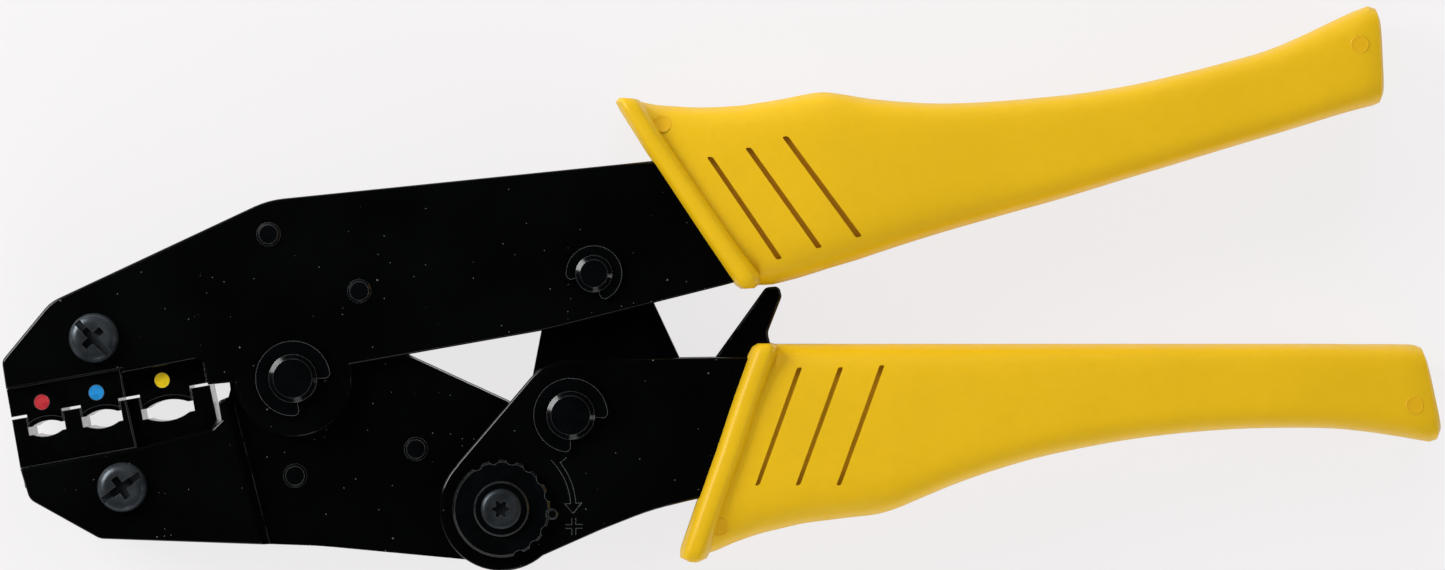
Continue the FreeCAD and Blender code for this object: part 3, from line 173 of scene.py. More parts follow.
# Stamped arrow: its shaft's first and last angle, then its straight lines, each from and to a
# radius in millimetres and an angle. Stamped plus: its place, half length and half width.
ARROW_SHAFT = (38, 4)
ARROW_STEPS = 24
ARROW_LINES = (((9.7, 4), (10.6, 4)), ((11.4, 4), (12.3, 4)), ((9.7, 4), (11.0, -4)),
               ((12.3, 4), (11.0, -4)), ((10.6, 38), (10.6, 44)), ((11.4, 38), (12.6, 38)))
PLUS_PLACE = (11.4, -14)
PLUS_LENGTH = 1.25 * MM
PLUS_WIDTH = 0.3 * MM

# Lamps: place, size, the strength it takes and its share, and the rays that it stays out of.
LAMPS = {
    "key_left": ((-0.50, 0.24, 0.30), 0.30, "key", 1.0, None),
    "key_top": ((0.05, 0.74, 0.38), 0.50, "key", 0.9, "visible_glossy"),
    "fill_right": ((0.70, -0.05, 0.40), 0.30, "fill", 1.0, "visible_glossy"),
    "fill_front": ((-0.10, -0.70, 0.30), 0.40, "fill", 1.9, "visible_glossy"),
    "glint_left": ((-0.52, 0.52, 0.27), 0.13, "glint", 0.7, "visible_diffuse"),
    "glint_right": ((0.70, -0.12, 0.25), 0.08, "glint", 0.15, "visible_diffuse"),
    "glint_front": ((0.05, -0.70, 0.22), 0.22, "glint", 0.3, "visible_diffuse"),
}
STUDIO_TONE = (0.92, 0.915, 0.92, 1)
STUDIO_GLOW = 0.35
FLOOR_REACH = 3.0
FLOOR_DROP = 0.1 * MM
CAMERA_OVER = (65.8, 14.3)  # millimetres from the main pivot


class PlateLook(bpy.types.PropertyGroup):
    """Black paint of the pressed plates."""
    colour: FloatVectorProperty(
        name="Paint", description="Colour of the black paint", subtype="COLOR",
        default=(0.0008, 0.0009, 0.001), min=0, max=1)
    # Edge colour: paint rubbed thin, and painted highlight along the rounded plate edges.
    worn_and_highlit: FloatVectorProperty(
        name="Worn edge", description="Colour where the paint has rubbed thin",
        subtype="COLOR", default=(0.07, 0.075, 0.08), min=0, max=1)
    # Width of the lighter edges, both rubbed paint and painted highlight.
    wear_and_highlight_width: FloatProperty(
        name="Wear width", description="Width of the rubbed edges", subtype="DISTANCE",
        unit="LENGTH", default=0.00025)
    speck_scale: FloatProperty(
        name="Speck density", description="Dust specks per metre", default=1100)


class SteelLook(bpy.types.PropertyGroup):
    """Steel finishes."""
    die: FloatVectorProperty(
        name="Die steel", description="Colour of the blackened dies", subtype="COLOR",
        default=(0.0014, 0.0016, 0.0018), min=0, max=1)
    pin: FloatVectorProperty(
        name="Blackened pin", description="Colour of the pins and rivets", subtype="COLOR",
        default=(0.002, 0.0024, 0.0028), min=0, max=1)
    screw: FloatVectorProperty(
        name="Screw steel", description="Colour of the die screws", subtype="COLOR",
        default=(0.062, 0.073, 0.083), min=0, max=1)
    spring: FloatVectorProperty(
        name="Spring wire", description="Colour of the springs", subtype="COLOR",
        default=(0.16, 0.16, 0.165), min=0, max=1)
    bare: FloatVectorProperty(
        name="Bare steel", description="Colour of the inner spacers", subtype="COLOR",
        default=(0.34, 0.34, 0.345), min=0, max=1)


class GripLook(bpy.types.PropertyGroup):
    """Shape and plastic of the grips."""
    colour: FloatVectorProperty(
        name="Plastic", description="Colour of the moulded plastic", subtype="COLOR",
        default=(0.70, 0.425, 0.004), min=0, max=1)
    # Painted shade: the moulding marks are coloured darker and more orange than the plastic
    # around them.
    dimple_shade: FloatVectorProperty(
        name="Dimple", description="Colour inside the round moulding marks",
        subtype="COLOR", default=(0.69, 0.385, 0.005), min=0, max=1)
    thickness: FloatProperty(
        name="Thickness", description="Thickness of a grip at its middle",
        subtype="DISTANCE", unit="LENGTH", default=18.5 * MM)
    flange_thickness: FloatProperty(
        name="Flange thickness", description="Thickness of a flange bead",
        subtype="DISTANCE", unit="LENGTH", default=21.0 * MM)
    roundness: FloatProperty(
        name="Roundness", description="Higher makes a grip's section squarer", default=4.6)
    bead_roundness: FloatProperty(
        name="Bead roundness", description="Higher makes a bead's section squarer",
        default=3.6)
    slot_depth: FloatProperty(
        name="Slot depth", description="Depth of a grip's slots", subtype="DISTANCE",
        unit="LENGTH", default=1.25 * MM)
    slot_round: FloatProperty(
        name="Slot round", description="Rounding of a slot's ends", subtype="DISTANCE",
        unit="LENGTH", default=0.28 * MM)
    mouth: FloatProperty(
        name="Mouth", description="Width of the groove that the pawl moves in",
        subtype="DISTANCE", unit="LENGTH", default=5.2 * MM)
    mark_radius: FloatProperty(
        name="Mark radius", description="Radius of the round moulding marks",
        subtype="DISTANCE", unit="LENGTH", default=1.3 * MM)


class DotLook(bpy.types.PropertyGroup):
    """Paint of the dots that name the nests."""
    red: FloatVectorProperty(
        name="Red", description="Dot of the small nest", subtype="COLOR",
        default=(0.41, 0.02, 0.028), min=0, max=1)
    blue: FloatVectorProperty(
        name="Blue", description="Dot of the middle nest", subtype="COLOR",
        default=(0.008, 0.21, 0.52), min=0, max=1)
    yellow: FloatVectorProperty(
        name="Yellow", description="Dot of the large nest", subtype="COLOR",
        default=(0.85, 0.60, 0.0), min=0, max=1)


class StampLook(bpy.types.PropertyGroup):
    """Arrow and plus stamped beside the adjusting wheel."""
    arc_radius: FloatProperty(
        name="Arc radius", description="Wheel's middle to the arrow's middle line",
        subtype="DISTANCE", unit="LENGTH", default=11.0 * MM)
    arc_width: FloatProperty(
        name="Arc width", description="Width of the arrow's shaft", subtype="DISTANCE",
        unit="LENGTH", default=0.8 * MM)
    line: FloatProperty(
        name="Line", description="Width of a stamped line", subtype="DISTANCE",
        unit="LENGTH", default=0.12 * MM)
    rise: FloatProperty(
        name="Rise", description="Height of a stamped line's burr", subtype="DISTANCE",
        unit="LENGTH", default=0.04 * MM)


class StageLook(bpy.types.PropertyGroup):
    """Floor, lights and camera."""
    floor: FloatVectorProperty(
        name="Floor", description="Colour of the floor", subtype="COLOR",
        default=(0.93, 0.915, 0.925), min=0, max=1)
    floor_glow: FloatProperty(
        name="Floor glow", description="Light that the floor gives off itself", default=0.85)
    floor_paint: FloatProperty(
        name="Floor paint", description="How much of the lamps' light the floor returns",
        default=0.12)
    camera_height: FloatProperty(
        name="Camera height", description="Height of the camera above the floor",
        subtype="DISTANCE", unit="LENGTH", default=0.9676)
    field: FloatProperty(
        name="Field of view", description="Horizontal field of view", subtype="ANGLE",
        unit="ROTATION", default=math.radians(13.3))
    key: FloatProperty(
        name="Key light", description="Strength of the main lights", unit="POWER", default=3.5)
    fill: FloatProperty(
        name="Fill light", description="Strength of the other lights", unit="POWER",
        default=1.4)
    glint: FloatProperty(
        name="Glint", description="Strength of the lamps that only show in the gloss",
        unit="POWER", default=0.8)


def settings(name):
    """One of the scene's groups of settings."""
    return getattr(bpy.context.scene, "plier_" + name)


# ---------------------------------------------------------------- materials

class Finish:
    """A material being built: its tree, its shader and the place on the piece."""

    def __init__(self, name):
        self.material = bpy.data.materials.new(name)
        self.material.use_nodes = True
        self.tree = self.material.node_tree
        self.shader = self.tree.nodes["Principled BSDF"]
        self.place = self.node("ShaderNodeTexCoord").outputs["Object"]

    def node(self, kind, **values):
        """Add a node; words in values are its properties."""
        made = self.tree.nodes.new(kind)
        for word, content in values.items():
            setattr(made, word, content)
        return made

    def join(self, source, target):
        """Link a socket, or write a plain value."""
        if isinstance(source, bpy.types.NodeSocket):
            self.tree.links.new(source, target)
        else:
            target.default_value = source

    def noise(self, scale, detail=2.0, stretch=None):
        """Noise over the piece, 0 to 1."""
        made = self.node("ShaderNodeTexNoise")
        place = self.place
        if stretch:
            mapping = self.node("ShaderNodeMapping")
            mapping.inputs["Scale"].default_value = stretch
            self.join(place, mapping.inputs["Vector"])
            place = mapping.outputs["Vector"]
        self.join(place, made.inputs["Vector"])
        made.inputs["Scale"].default_value = scale
        made.inputs["Detail"].default_value = detail
        return made.outputs["Fac"]

    def spread(self, source, low, high, to_low=0.0, to_high=1.0):
        """Stretch a range of values onto another."""
        made = self.node("ShaderNodeMapRange", interpolation_type="SMOOTHSTEP")
        self.join(source, made.inputs["Value"])
        for socket, content in (("From Min", low), ("From Max", high),
                                ("To Min", to_low), ("To Max", to_high)):
            made.inputs[socket].default_value = content
        return made.outputs["Result"]

    def blend(self, share, first, second):
        """Mix two colours by a share."""
        made = self.node("ShaderNodeMix", data_type="RGBA")
        self.join(share, made.inputs["Factor"])
        self.join(rgba(first), made.inputs["A"])
        self.join(rgba(second), made.inputs["B"])
        return made.outputs["Result"]

    def maths(self, kind, first, second=0.0):
        """Arithmetic on two values."""
        made = self.node("ShaderNodeMath", operation=kind)
        self.join(first, made.inputs[0])
        self.join(second, made.inputs[1])
        return made.outputs["Value"]

    def specks(self, scale, size, share):
        """Scattered dots: 1 inside a dot."""
        cells = self.node("ShaderNodeTexVoronoi")
        self.join(self.place, cells.inputs["Vector"])
        cells.inputs["Scale"].default_value = scale
        dot = self.spread(cells.outputs["Distance"], size * 0.6, size, 1.0, 0.0)
        part = self.node("ShaderNodeSeparateColor")
        self.join(cells.outputs["Color"], part.inputs["Color"])
        chosen = self.maths("LESS_THAN", part.outputs["Red"], share)
        return self.maths("MULTIPLY", dot, chosen)

    def edges(self, width):
        """Share of an edge's turn within a width: 0 on a flat, more at an edge."""
        rounded = self.node("ShaderNodeBevel", samples=4)
        rounded.inputs["Radius"].default_value = width
        flat = self.node("ShaderNodeNewGeometry")
        product = self.node("ShaderNodeVectorMath", operation="DOT_PRODUCT")
        self.join(rounded.outputs["Normal"], product.inputs[0])
        self.join(flat.outputs["Normal"], product.inputs[1])
        return self.spread(product.outputs["Value"], 0.995, 0.82, 0.0, 1.0)

    def bump(self, height, strength, distance):
        """Raise the surface by a pattern, on top of any earlier bump."""
        made = self.node("ShaderNodeBump")
        made.inputs["Strength"].default_value = strength
        made.inputs["Distance"].default_value = distance
        self.join(height, made.inputs["Height"])
        target = self.shader.inputs["Normal"]
        if target.links:
            self.join(target.links[0].from_socket, made.inputs["Normal"])
        self.join(made.outputs["Normal"], target)

    def set(self, **values):
        """Write or link the shader's sockets; underscores stand for spaces."""
        for word, content in values.items():
            self.join(content, self.shader.inputs[word.replace("_", " ")])


def rgba(colour):
    """A colour with its alpha, or a socket as it is."""
    if isinstance(colour, bpy.types.NodeSocket):
        return colour
    return (*colour, 1.0)


def lighter(colour, factor):
    """A colour times a factor, each channel at most 1."""
    return tuple(min(1.0, channel * factor) for channel in colour)


def black_paint():
    """Glossy black paint with fine orange peel, dust specks, and lighter edges that are partly
    rubbed paint and partly painted highlight.
    """
    look = settings("plate")
    finish = Finish("black_paint")
    cloud = finish.noise(60, 3)
    base = finish.blend(finish.spread(cloud, 0.3, 0.7), look.colour, lighter(look.colour, 1.8))
    dust = finish.maths("MAXIMUM", finish.specks(look.speck_scale, 0.10, 0.10),
                        finish.specks(look.speck_scale * 0.43, 0.07, 0.10))
    base = finish.blend(dust, base, DUST)
    # Lighter edges: patchy rubbed paint, and painted highlight on the rounded plate edges.
    rubbed_and_highlit = finish.maths("MULTIPLY", finish.edges(look.wear_and_highlight_width),
                          finish.spread(finish.noise(700, 3), 0.38, 0.62))
    base = finish.blend(rubbed_and_highlit, base, look.worn_and_highlit)
    rough = finish.spread(finish.noise(140, 3), 0.25, 0.75, 0.11, 0.19)
    finish.set(Base_Color=base, Roughness=rough, Specular_IOR_Level=0.3)
    finish.bump(finish.noise(1500, 2), 0.10, 0.00006)
    finish.bump(dust, 0.4, 0.00008)
    return finish.material


def dark_metal(name, colour, metallic, rough, edge_wear_and_highlight, grain=2600, stretch=None):
    """Dark steel with a fine grain, and lighter edges that are partly rubbed black and partly
    painted highlight.
    """
    finish = Finish(name)
    cloud = finish.noise(260, 4)
    base = finish.blend(finish.spread(cloud, 0.3, 0.7), lighter(colour, 0.75),
                        lighter(colour, 1.35))
    # Lighter edges: black rubbed off, and painted highlight on the rounded edges.
    base = finish.blend(finish.edges(0.0002), base, edge_wear_and_highlight)
    finish.set(Base_Color=base, Metallic=metallic, Specular_IOR_Level=0.5,
               Roughness=finish.spread(finish.noise(grain / 3, 3), 0.25, 0.75,
                                       rough * 0.8, rough * 1.25))
    finish.bump(finish.noise(grain, 3, stretch), 0.18, 0.00004)
    return finish.material


def bright_steel(name, colour, rough, stretch=None):
    """Plain steel with drawn or turned lines and a little staining."""
    finish = Finish(name)
    stain = finish.spread(finish.noise(180, 5), 0.42, 0.72)
    base = finish.blend(stain, colour, lighter(colour, 0.55))
    finish.set(Base_Color=base, Metallic=0.9,
               Roughness=finish.spread(finish.noise(900, 3), 0.2, 0.8, rough * 0.7, rough * 1.3))
    finish.bump(finish.noise(1800, 3, stretch), 0.2, 0.00005)
    return finish.material


def yellow_plastic(name, colour):
    """Moulded plastic: satin, finely grained, faintly uneven in tone."""
    finish = Finish(name)
    cloud = finish.noise(38, 3)
    base = finish.blend(finish.spread(cloud, 0.3, 0.7), lighter(colour, 0.97),
                        lighter(colour, 1.03))
    mottle = finish.spread(finish.noise(620, 4), 0.35, 0.75)
    base = finish.blend(finish.maths("MULTIPLY", mottle, 0.18), base, lighter(colour, 0.86))
    finish.set(Base_Color=base, Specular_IOR_Level=0.32,
               Roughness=finish.spread(finish.noise(420, 3), 0.25, 0.75, 0.38, 0.50))
    finish.bump(finish.noise(2600, 3), 0.16, 0.00008)
    finish.bump(finish.noise(300, 2), 0.06, 0.0002)
    return finish.material


def dot_paint(name, colour):
    """Drop of enamel, faintly uneven in tone and roughness, with a fine bump."""
    finish = Finish(name)
    cloud = finish.spread(finish.noise(900, 3), 0.3, 0.7)
    base = finish.blend(cloud, lighter(colour, 0.8), lighter(colour, 1.1))
    finish.set(Base_Color=base, Roughness=finish.spread(cloud, 0, 1, 0.28, 0.42))
    finish.bump(finish.noise(1200, 2), 0.3, 0.0001)
    return finish.material


def coat(names, material):
    """Put one material on CAD pieces."""
    for name in names:
        slots = NODES[name].material_slots
        if not slots:
            raise RuntimeError("%s has no material slot" % name)
        for entry in slots:
            entry.material = material


# ---------------------------------------------------------------- meshes

def settle(bm, name, material, body, sharp=35):
    """Turn a bmesh into a piece that rides on a body; edges over sharp degrees stay hard."""
    bmesh.ops.remove_doubles(bm, verts=bm.verts, dist=1e-7)
    mesh = bpy.data.meshes.new(name)
    bm.to_mesh(mesh)
    bm.free()
    mesh.shade_smooth()
    mesh.set_sharp_from_angle(angle=math.radians(sharp))
    mesh.materials.append(material)
    piece = bpy.data.objects.new(name, mesh)
    bpy.context.scene.collection.objects.link(piece)
    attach(piece, body)
    return piece


def at_pivot(x, y, z=0.0):
    """Point given in millimetres from the main pivot, in the row frame."""
    return PIVOT + Vector((x, y, z)) * MM


def curve_between(rings, index, share):
    """Ring between two rings on a smooth curve through their neighbours."""
    last = len(rings) - 1
    four = [rings[min(max(index + step, 0), last)] for step in (-1, 0, 1, 2)]
    before, start, end, after = [(*upper, *lower, thick) for upper, lower, thick in four]
    made = [0.5 * (2 * b + (c - a) * share + (2 * a - 5 * b + 4 * c - d) * share ** 2
                   + (3 * b - a - 3 * c + d) * share ** 3)
            for a, b, c, d in zip(before, start, end, after)]
    return (made[0], made[1]), (made[2], made[3]), made[4]


def section(roundness, side_heights):
    """One ring's points: across from -1 to 1, height from -1 to 1, all the way round."""
    quarter = [(1.0 - SIDE_DRAFT * height ** 3, height) for height in side_heights]
    for step in range(1, CURVE_STEPS + 1):
        angle = math.radians(CURVE_START + (90 - CURVE_START) * step / CURVE_STEPS)
        across = math.cos(angle) ** (2 / roundness) if step < CURVE_STEPS else 0.0
        quarter.append((across, math.sin(angle) ** (2 / roundness)))
    upper = quarter + [(-across, height) for across, height in reversed(quarter[:-1])]
    return upper + [(across, -height) for across, height in reversed(upper[1:-1])
                    if height > 0]


def ring_point(ring, across, height, half_thick):
    """Point of a ring: across from -1 to 1, height from -1 to 1."""
    upper, lower, thick = ring
    first, second = at_pivot(*upper), at_pivot(*lower)
    rise = Vector((0, 0, height * half_thick * thick))
    return (first + second) / 2 + (first - second) / 2 * across + rise


def add_ring(bm, ring, points, half_thick):
    """Closed loop of edges across a grip; returns its vertices and edges."""
    verts = [bm.verts.new(ring_point(ring, across, height, half_thick))
             for across, height in points]
    edges = [bm.edges.new((verts[i - 1], verts[i])) for i in range(len(verts))]
    return verts, edges


def loft(bm, rings, points, half_thick):
    """Bridge rings into a closed body; returns the vertices of each ring."""
    made = [add_ring(bm, ring, points, half_thick) for ring in rings]
    for (_, before), (_, after) in zip(made, made[1:]):
        bmesh.ops.bridge_loops(bm, edges=before + after)
    for verts, _ in (made[0], made[-1]):
        bm.faces.new(verts)
    bmesh.ops.recalc_face_normals(bm, faces=bm.faces)
    return [verts for verts, _ in made]


def sink_slot(bm, rings, loops, points, ends, look):
    """Cut a narrow slot with round ends into both faces, between two rings."""
    half = look.thickness / 2
    for side in (1, -1):
        face_side = [i for i, (_, height) in enumerate(points)
                     if side * height > FACE_HEIGHT]
        first, last = (min(face_side, key=lambda i: abs(points[i][0] - (1 - 2 * share)))
                       for share in ends)
        for index, share in ((first, ends[0]), (last, ends[1])):
            across = 1 - 2 * share
            height = (1 - abs(across) ** look.roundness) ** (1 / look.roundness)
            for ring, loop in zip(rings, loops):
                loop[index].co = ring_point(ring, across, side * height, half)
        low, high = sorted((first, last))
        rows = list(zip(loops[0][low:high + 1], loops[1][low:high + 1]))
        band = [next(face for face in here[0].link_faces if set(face.verts) == {*here, *there})
                for here, there in zip(rows, rows[1:])]
        corners = [*rows[0], *rows[-1]]
        pushed = bmesh.ops.extrude_face_region(bm, geom=band)
        verts = [item for item in pushed["geom"] if isinstance(item, bmesh.types.BMVert)]
        bmesh.ops.translate(bm, verts=verts, vec=(0, 0, -side * look.slot_depth))
        bmesh.ops.delete(bm, geom=band, context="FACES_ONLY")
        walls = [edge for corner in corners for edge in corner.link_edges
                 if edge.other_vert(corner) in verts]
        bmesh.ops.bevel(bm, geom=walls, offset=look.slot_round, segments=4, profile=0.5,
                        affect="EDGES", material=-1)


def cut_mouth(bm, mouth, width):
    """Open a flat-floored groove of a width where the pawl moves, between two corners."""
    low, high = at_pivot(*mouth[0]), at_pivot(*mouth[1])
    low.z -= width / 2
    high.z += width / 2
    floor = at_pivot(0, mouth[2]).y
    for axis, place in ((0, low.x), (0, high.x), (1, floor), (2, low.z), (2, high.z)):
        normal = Vector((axis == 0, axis == 1, axis == 2))
        bmesh.ops.bisect_plane(bm, geom=bm.verts[:] + bm.edges[:] + bm.faces[:],
                               dist=1e-7, plane_co=normal * place, plane_no=normal)
    gone = [face for face in bm.faces
            if all(low[i] < face.calc_center_median()[i] < high[i] for i in range(3))]
    if not gone:
        raise RuntimeError("the groove for the pawl misses the grip")
    bmesh.ops.delete(bm, geom=gone, context="FACES")
    rim = [edge for edge in bm.edges if edge.is_boundary]
    walls = bmesh.ops.extrude_edge_only(bm, edges=rim)
    for item in walls["geom"]:
        if isinstance(item, bmesh.types.BMVert):
            item.co.y = floor
    bmesh.ops.remove_doubles(bm, verts=bm.verts, dist=1e-6)
    bmesh.ops.holes_fill(bm, edges=[edge for edge in bm.edges if edge.is_boundary])
    bmesh.ops.recalc_face_normals(bm, faces=bm.faces)


def mould_grip(node, body, rings, slots, bead, mouth, material):
    """Crowned grip with its slots and its flange bead, in place of the CAD grip."""
    look = settings("grip")
    points = section(look.roundness, GRIP_SIDE)
    smooth, slot_rings = [], {}
    narrow = {first for first, _, _ in slots}
    for index, ring in enumerate(rings):
        slot_rings[index] = len(smooth)
        smooth.append(ring)
        if END_RINGS < index < len(rings) - END_RINGS - 1 and index not in narrow:
            smooth += [curve_between(rings, index, share) for share in (1 / 3, 2 / 3)]
    bm = bmesh.new()
    loops = loft(bm, smooth, points, look.thickness / 2)
    for first, *ends in slots:
        place = slot_rings[first]
        sink_slot(bm, smooth[place:place + 2], loops[place:place + 2], points, ends, look)
    cut_mouth(bm, mouth, look.mouth)
    piece = settle(bm, node + "_moulding", material, body)
    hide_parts(node)
    bm = bmesh.new()
    loft(bm, bead, section(look.bead_roundness, BEAD_SIDE), look.flange_thickness / 2)
    cut_mouth(bm, mouth, look.mouth)
    settle(bm, node + "_bead", material, body, sharp=50)
    return piece


def add_mould_mark(bm, piece, place, side, radius):
    """Shallow dish with a raised rim on a grip's face."""
    start = at_pivot(*place, side * CLEAR_OF_GRIP)
    hit, point, normal, _ = piece.ray_cast(start, Vector((0, 0, -side)))
    if not hit:
        raise RuntimeError("a moulding mark misses the grip")
    turn = normal.to_track_quat("Z", "X").to_matrix().to_4x4()
    frame = Matrix.Translation(point) @ turn
    profile = [bm.verts.new(frame @ Vector((share * radius, 0, height * MM)))
               for share, height in MARK_PROFILE]
    edges = [bm.edges.new(pair) for pair in zip(profile, profile[1:])]
    bmesh.ops.spin(bm, geom=profile + edges, cent=point, axis=normal,
                   angle=math.tau, steps=MARK_STEPS, use_merge=True)


def stroke(bm, start, end, width, foot, rise):
    """Straight raised line between two points of a plate's face."""
    start, end = Vector((*start, 0)), Vector((*end, 0))
    span = end - start
    turn = Matrix.Rotation(math.atan2(span.y, span.x), 4, "Z")
    place = Matrix.Translation((start + end) / 2 + Vector((0, 0, foot + rise / 2)))
    size = Matrix.Diagonal((span.length + width, width, rise, 1))
    made = bmesh.ops.create_cube(bm, size=1.0, matrix=place @ turn @ size)
    top = [edge for edge in {e for v in made["verts"] for e in v.link_edges}
           if all(v.co.z > foot + rise / 2 for v in edge.verts)]
    bmesh.ops.bevel(bm, geom=top, offset=min(width, rise) * 0.4, segments=2, profile=0.5,
                    affect="EDGES", material=-1)


def bent_stroke(bm, centre, radius, first, last, width, foot, rise):
    """Raised line along an arc, from one angle to another, in degrees."""
    begin = math.radians(first)
    corners = []
    for across, up in ((-0.5, 0), (-0.2, 1), (0.2, 1), (0.5, 0)):
        reach = radius + across * width
        corners.append(bm.verts.new((centre.x + reach * math.cos(begin),
                                     centre.y + reach * math.sin(begin),
                                     foot + up * rise)))
    profile = bm.faces.new(corners)
    bmesh.ops.spin(bm, geom=[profile] + profile.edges[:] + profile.verts[:], cent=centre,
                   axis=(0, 0, 1), angle=math.radians(last - first), steps=ARROW_STEPS,
                   use_merge=False)


def around(centre, radius, degrees):
    """Point at a radius in millimetres and an angle about a centre."""
    angle = math.radians(degrees)
    return (centre.x + radius * MM * math.cos(angle), centre.y + radius * MM * math.sin(angle))


def plus_lines(middle):
    """Outline of a plus: two lines along each of its four arms."""
    lines = []
    for along, across in (((1, 0), (0, 1)), ((0, 1), (1, 0))):
        for side in (-PLUS_WIDTH, PLUS_WIDTH):
            for end in (-1, 1):
                lines.append([tuple(middle[i] + along[i] * end * reach + across[i] * side
                                    for i in (0, 1)) for reach in (PLUS_WIDTH, PLUS_LENGTH)])
    return lines


# ---------------------------------------------------------------- operators

class PLIER_OT_plates(bpy.types.Operator):
    """Paint the pressed plates, the link and the pawl"""
    bl_idname = "plier.plates"
    bl_label = "Paint Plates"

    def execute(self, context):
        coat(PLATES, black_paint())
        return {"FINISHED"}


class PLIER_OT_dies(bpy.types.Operator):
    """Blacken the dies and fill their coloured dots"""
    bl_idname = "plier.dies"
    bl_label = "Finish Dies"

    def execute(self, context):
        steel = settings("steel")
        coat(DIES, dark_metal("die_black", steel.die, 0.3, 0.17, DIE_EDGE_WEAR_AND_HIGHLIGHT))
        dots = settings("dot")
        for name, colour in zip(DOTS, (dots.red, dots.blue, dots.yellow)):
            coat((name,), dot_paint(name + "_enamel", colour))
        return {"FINISHED"}


class PLIER_OT_hardware(bpy.types.Operator):
    """Finish the pins, snap rings, rivets, wheel and screws"""
    bl_idname = "plier.hardware"
    bl_label = "Finish Hardware"

    def execute(self, context):
        steel = settings("steel")
        ring, button = lighter(steel.pin, 0.8), lighter(steel.screw, 0.6)
        coat(PINS, dark_metal("pin_black", steel.pin, 0.3, 0.17, PIN_EDGE_WEAR_AND_HIGHLIGHT))
        coat(RINGS, dark_metal("ring_black", ring, 0.3, 0.15, RING_EDGE_WEAR_AND_HIGHLIGHT))
        coat(SCREWS, dark_metal("screw_satin", steel.screw, 0.75, 0.34, SCREW_EDGE_WEAR_AND_HIGHLIGHT))
        coat(("adjuster_screw",), dark_metal("button_satin", button, 0.7, 0.4, BUTTON_EDGE_WEAR_AND_HIGHLIGHT))
        return {"FINISHED"}


class PLIER_OT_inside(bpy.types.Operator):
    """Finish the springs and the bare steel between the plates"""
    bl_idname = "plier.inside"
    bl_label = "Finish Inside"

    def execute(self, context):
        steel = settings("steel")
        coat(SPRINGS, bright_steel("spring_wire", steel.spring, 0.32))
        coat(INNER_STEEL, bright_steel("bare_steel", steel.bare, 0.36, (1, 1, 9)))
        return {"FINISHED"}


class PLIER_OT_grips(bpy.types.Operator):
    """Mould the two yellow grips with crowned faces"""
    bl_idname = "plier.grips"
    bl_label = "Mould Grips"

    def execute(self, context):
        look = settings("grip")
        plastic = yellow_plastic("yellow_plastic", look.colour)
        # The moulding marks get a darker copy of the plastic as painted shade in their dishes.
        dimple_shade = yellow_plastic("yellow_dimple_shade", look.dimple_shade)
        coat(("fixed_grip", "moving_grip"), plastic)
        for node, body, rings, slots, bead, mouth, marks in GRIPS:
            piece = mould_grip(node, body, rings, slots, bead, mouth, plastic)
            context.view_layer.update()
            bm = bmesh.new()
            for place in marks:
                for side in (1, -1):
                    add_mould_mark(bm, piece, place, side, look.mark_radius)
            bmesh.ops.recalc_face_normals(bm, faces=bm.faces)
            settle(bm, node + "_marks", dimple_shade, body, sharp=60)
        return {"FINISHED"}


class PLIER_OT_stamps(bpy.types.Operator):
    """Stamp the turning arrow and the plus beside the adjusting wheel"""
    bl_idname = "plier.stamps"
    bl_label = "Stamp Marks"

    def execute(self, context):
        look = settings("stamp")
        centre = sum(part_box("adjusting_wheel"), Vector()) / 2
        centre.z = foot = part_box("handle_plate_front")[1].z - OVERLAP
        rise = look.rise + OVERLAP
        bm = bmesh.new()
        for side in (-0.5, 0.5):
            bent_stroke(bm, centre, look.arc_radius + side * look.arc_width, *ARROW_SHAFT,
                        look.line, foot, rise)
        lines = [(around(centre, *start), around(centre, *end)) for start, end in ARROW_LINES]
        for start, end in lines + plus_lines(around(centre, *PLUS_PLACE)):
            stroke(bm, start, end, look.line, foot, rise)
        bmesh.ops.recalc_face_normals(bm, faces=bm.faces)
        burr = dark_metal("stamp_burr", settings("steel").pin, 0.5, 0.25, STAMP_EDGE_WEAR_AND_HIGHLIGHT)
        settle(bm, "adjuster_stamps", burr, "moving_handle")
        return {"FINISHED"}


class PLIER_OT_stage(bpy.types.Operator):
    """Lay the floor and set the lights and the camera"""
    bl_idname = "plier.stage"
    bl_label = "Set Stage"

    def execute(self, context):
        look = settings("stage")
        lay_floor(look)
        light_world()
        for name, (place, size, strength, share, hidden) in LAMPS.items():
            lamp = add_light(name, place, size, getattr(look, strength) * share)
            if hidden:
                setattr(lamp, hidden, False)
        place_camera(look)
        context.scene.view_settings.view_transform = "Standard"
        return {"FINISHED"}


def lay_floor(look):
    """Pale floor under the plier."""
    bm = bmesh.new()
    bmesh.ops.create_grid(bm, x_segments=8, y_segments=8, size=FLOOR_REACH)
    mesh = bpy.data.meshes.new("floor")
    bm.to_mesh(mesh)
    bm.free()
    floor = bpy.data.objects.new("floor", mesh)
    floor.location.z = CAD_BOX[0].z - FLOOR_DROP
    bpy.context.scene.collection.objects.link(floor)
    finish = Finish("pale_floor")
    tone = finish.spread(finish.noise(3, 2), 0.3, 0.7)
    base = finish.blend(tone, look.floor, lighter(look.floor, 0.99))
    paint = finish.blend(tone, lighter(look.floor, look.floor_paint),
                         lighter(look.floor, look.floor_paint * 0.99))
    finish.set(Base_Color=paint, Roughness=0.9, Specular_IOR_Level=0.0,
               Emission_Color=base, Emission_Strength=look.floor_glow)
    mesh.materials.append(finish.material)


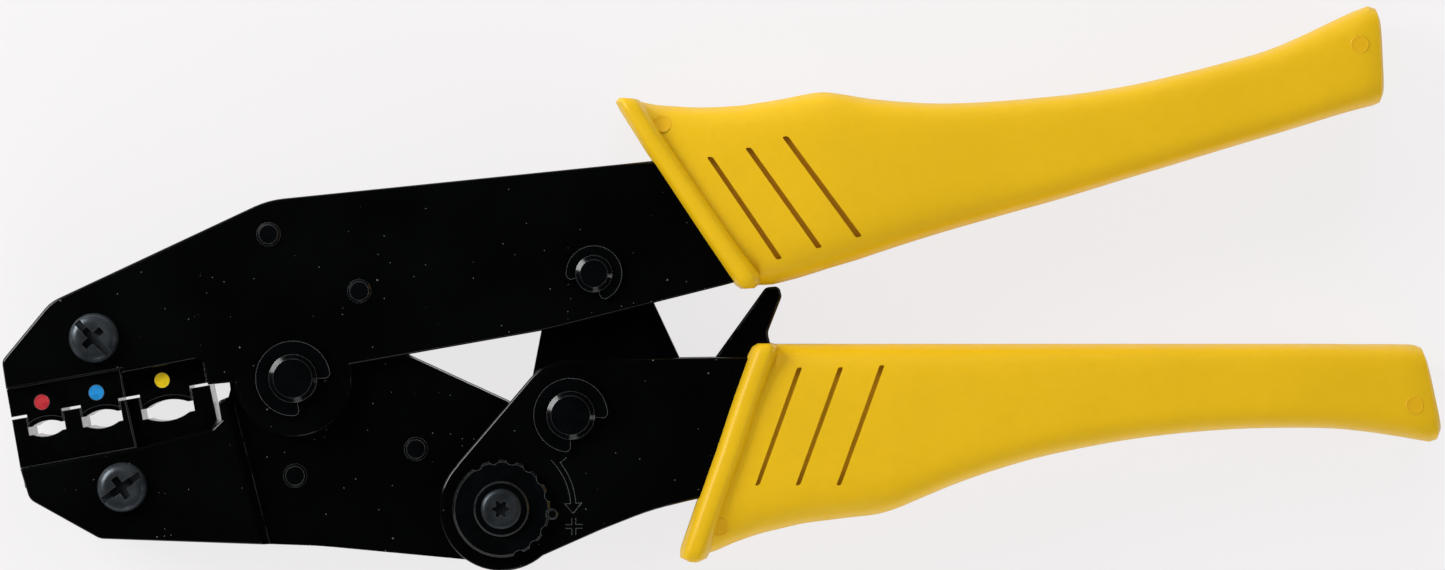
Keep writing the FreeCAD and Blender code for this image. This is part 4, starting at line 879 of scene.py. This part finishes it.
def light_world():
    """Pale surroundings that stay out of the gloss."""
    world = bpy.data.worlds.new("studio")
    bpy.context.scene.world = world
    world.use_nodes = True
    nodes, links = world.node_tree.nodes, world.node_tree.links
    background = nodes["Background"]
    background.inputs["Color"].default_value = STUDIO_TONE
    path = nodes.new("ShaderNodeLightPath")
    choice = nodes.new("ShaderNodeMapRange")
    choice.inputs["To Min"].default_value = STUDIO_GLOW
    choice.inputs["To Max"].default_value = 0.0
    links.new(path.outputs["Is Glossy Ray"], choice.inputs["Value"])
    shown = nodes.new("ShaderNodeMath")
    shown.operation = "MAXIMUM"
    links.new(path.outputs["Is Camera Ray"], shown.inputs[0])
    links.new(choice.outputs["Result"], shown.inputs[1])
    links.new(shown.outputs["Value"], background.inputs["Strength"])


def add_light(name, place, size, power):
    """Square soft light aimed at the plier."""
    data = bpy.data.lights.new(name, "AREA")
    data.size = size
    data.energy = power
    lamp = bpy.data.objects.new(name, data)
    lamp.location = place
    lamp.rotation_mode = "QUATERNION"
    lamp.rotation_quaternion = (-Vector(place)).to_track_quat("-Z", "Y")
    bpy.context.scene.collection.objects.link(lamp)
    return lamp


def place_camera(look):
    """Camera that looks straight down on the plier."""
    data = bpy.data.cameras.new("camera")
    data.angle = look.field
    camera = bpy.data.objects.new("camera", data)
    over = at_pivot(*CAMERA_OVER)
    camera.location = (over.x, over.y, look.camera_height)
    bpy.context.scene.collection.objects.link(camera)
    bpy.context.scene.camera = camera


STEPS = (PLIER_OT_plates, PLIER_OT_dies, PLIER_OT_hardware, PLIER_OT_inside,
         PLIER_OT_grips, PLIER_OT_stamps, PLIER_OT_stage)
GROUPS = {"plate": PlateLook, "steel": SteelLook, "grip": GripLook, "dot": DotLook,
          "stamp": StampLook, "stage": StageLook}


class PLIER_PT_sidebar(bpy.types.Panel):
    """Steps and settings of the plier"""
    bl_idname = "PLIER_PT_sidebar"
    bl_label = "Crimping Plier"
    bl_space_type = "VIEW_3D"
    bl_region_type = "UI"
    bl_category = "Plier"

    def draw(self, context):
        for step in STEPS:
            self.layout.operator(step.bl_idname)
        for name, group in GROUPS.items():
            box = self.layout.box()
            box.label(text=group.__name__)
            for word in group.__annotations__:
                box.prop(settings(name), word)


def register():
    """Register the groups of settings, the steps and the panel."""
    for name, group in GROUPS.items():
        bpy.utils.register_class(group)
        setattr(bpy.types.Scene, "plier_" + name, PointerProperty(type=group))
    for step in STEPS:
        bpy.utils.register_class(step)
    bpy.utils.register_class(PLIER_PT_sidebar)


def unregister():
    """Take everything that register() added away again."""
    bpy.utils.unregister_class(PLIER_PT_sidebar)
    for step in reversed(STEPS):
        bpy.utils.unregister_class(step)
    for name, group in GROUPS.items():
        delattr(bpy.types.Scene, "plier_" + name)
        bpy.utils.unregister_class(group)


def main():
    """Build every piece."""
    register()
    for step in STEPS:
        area, action = step.bl_idname.split(".")
        getattr(getattr(bpy.ops, area), action)()


if __name__ == "__main__":
    main()
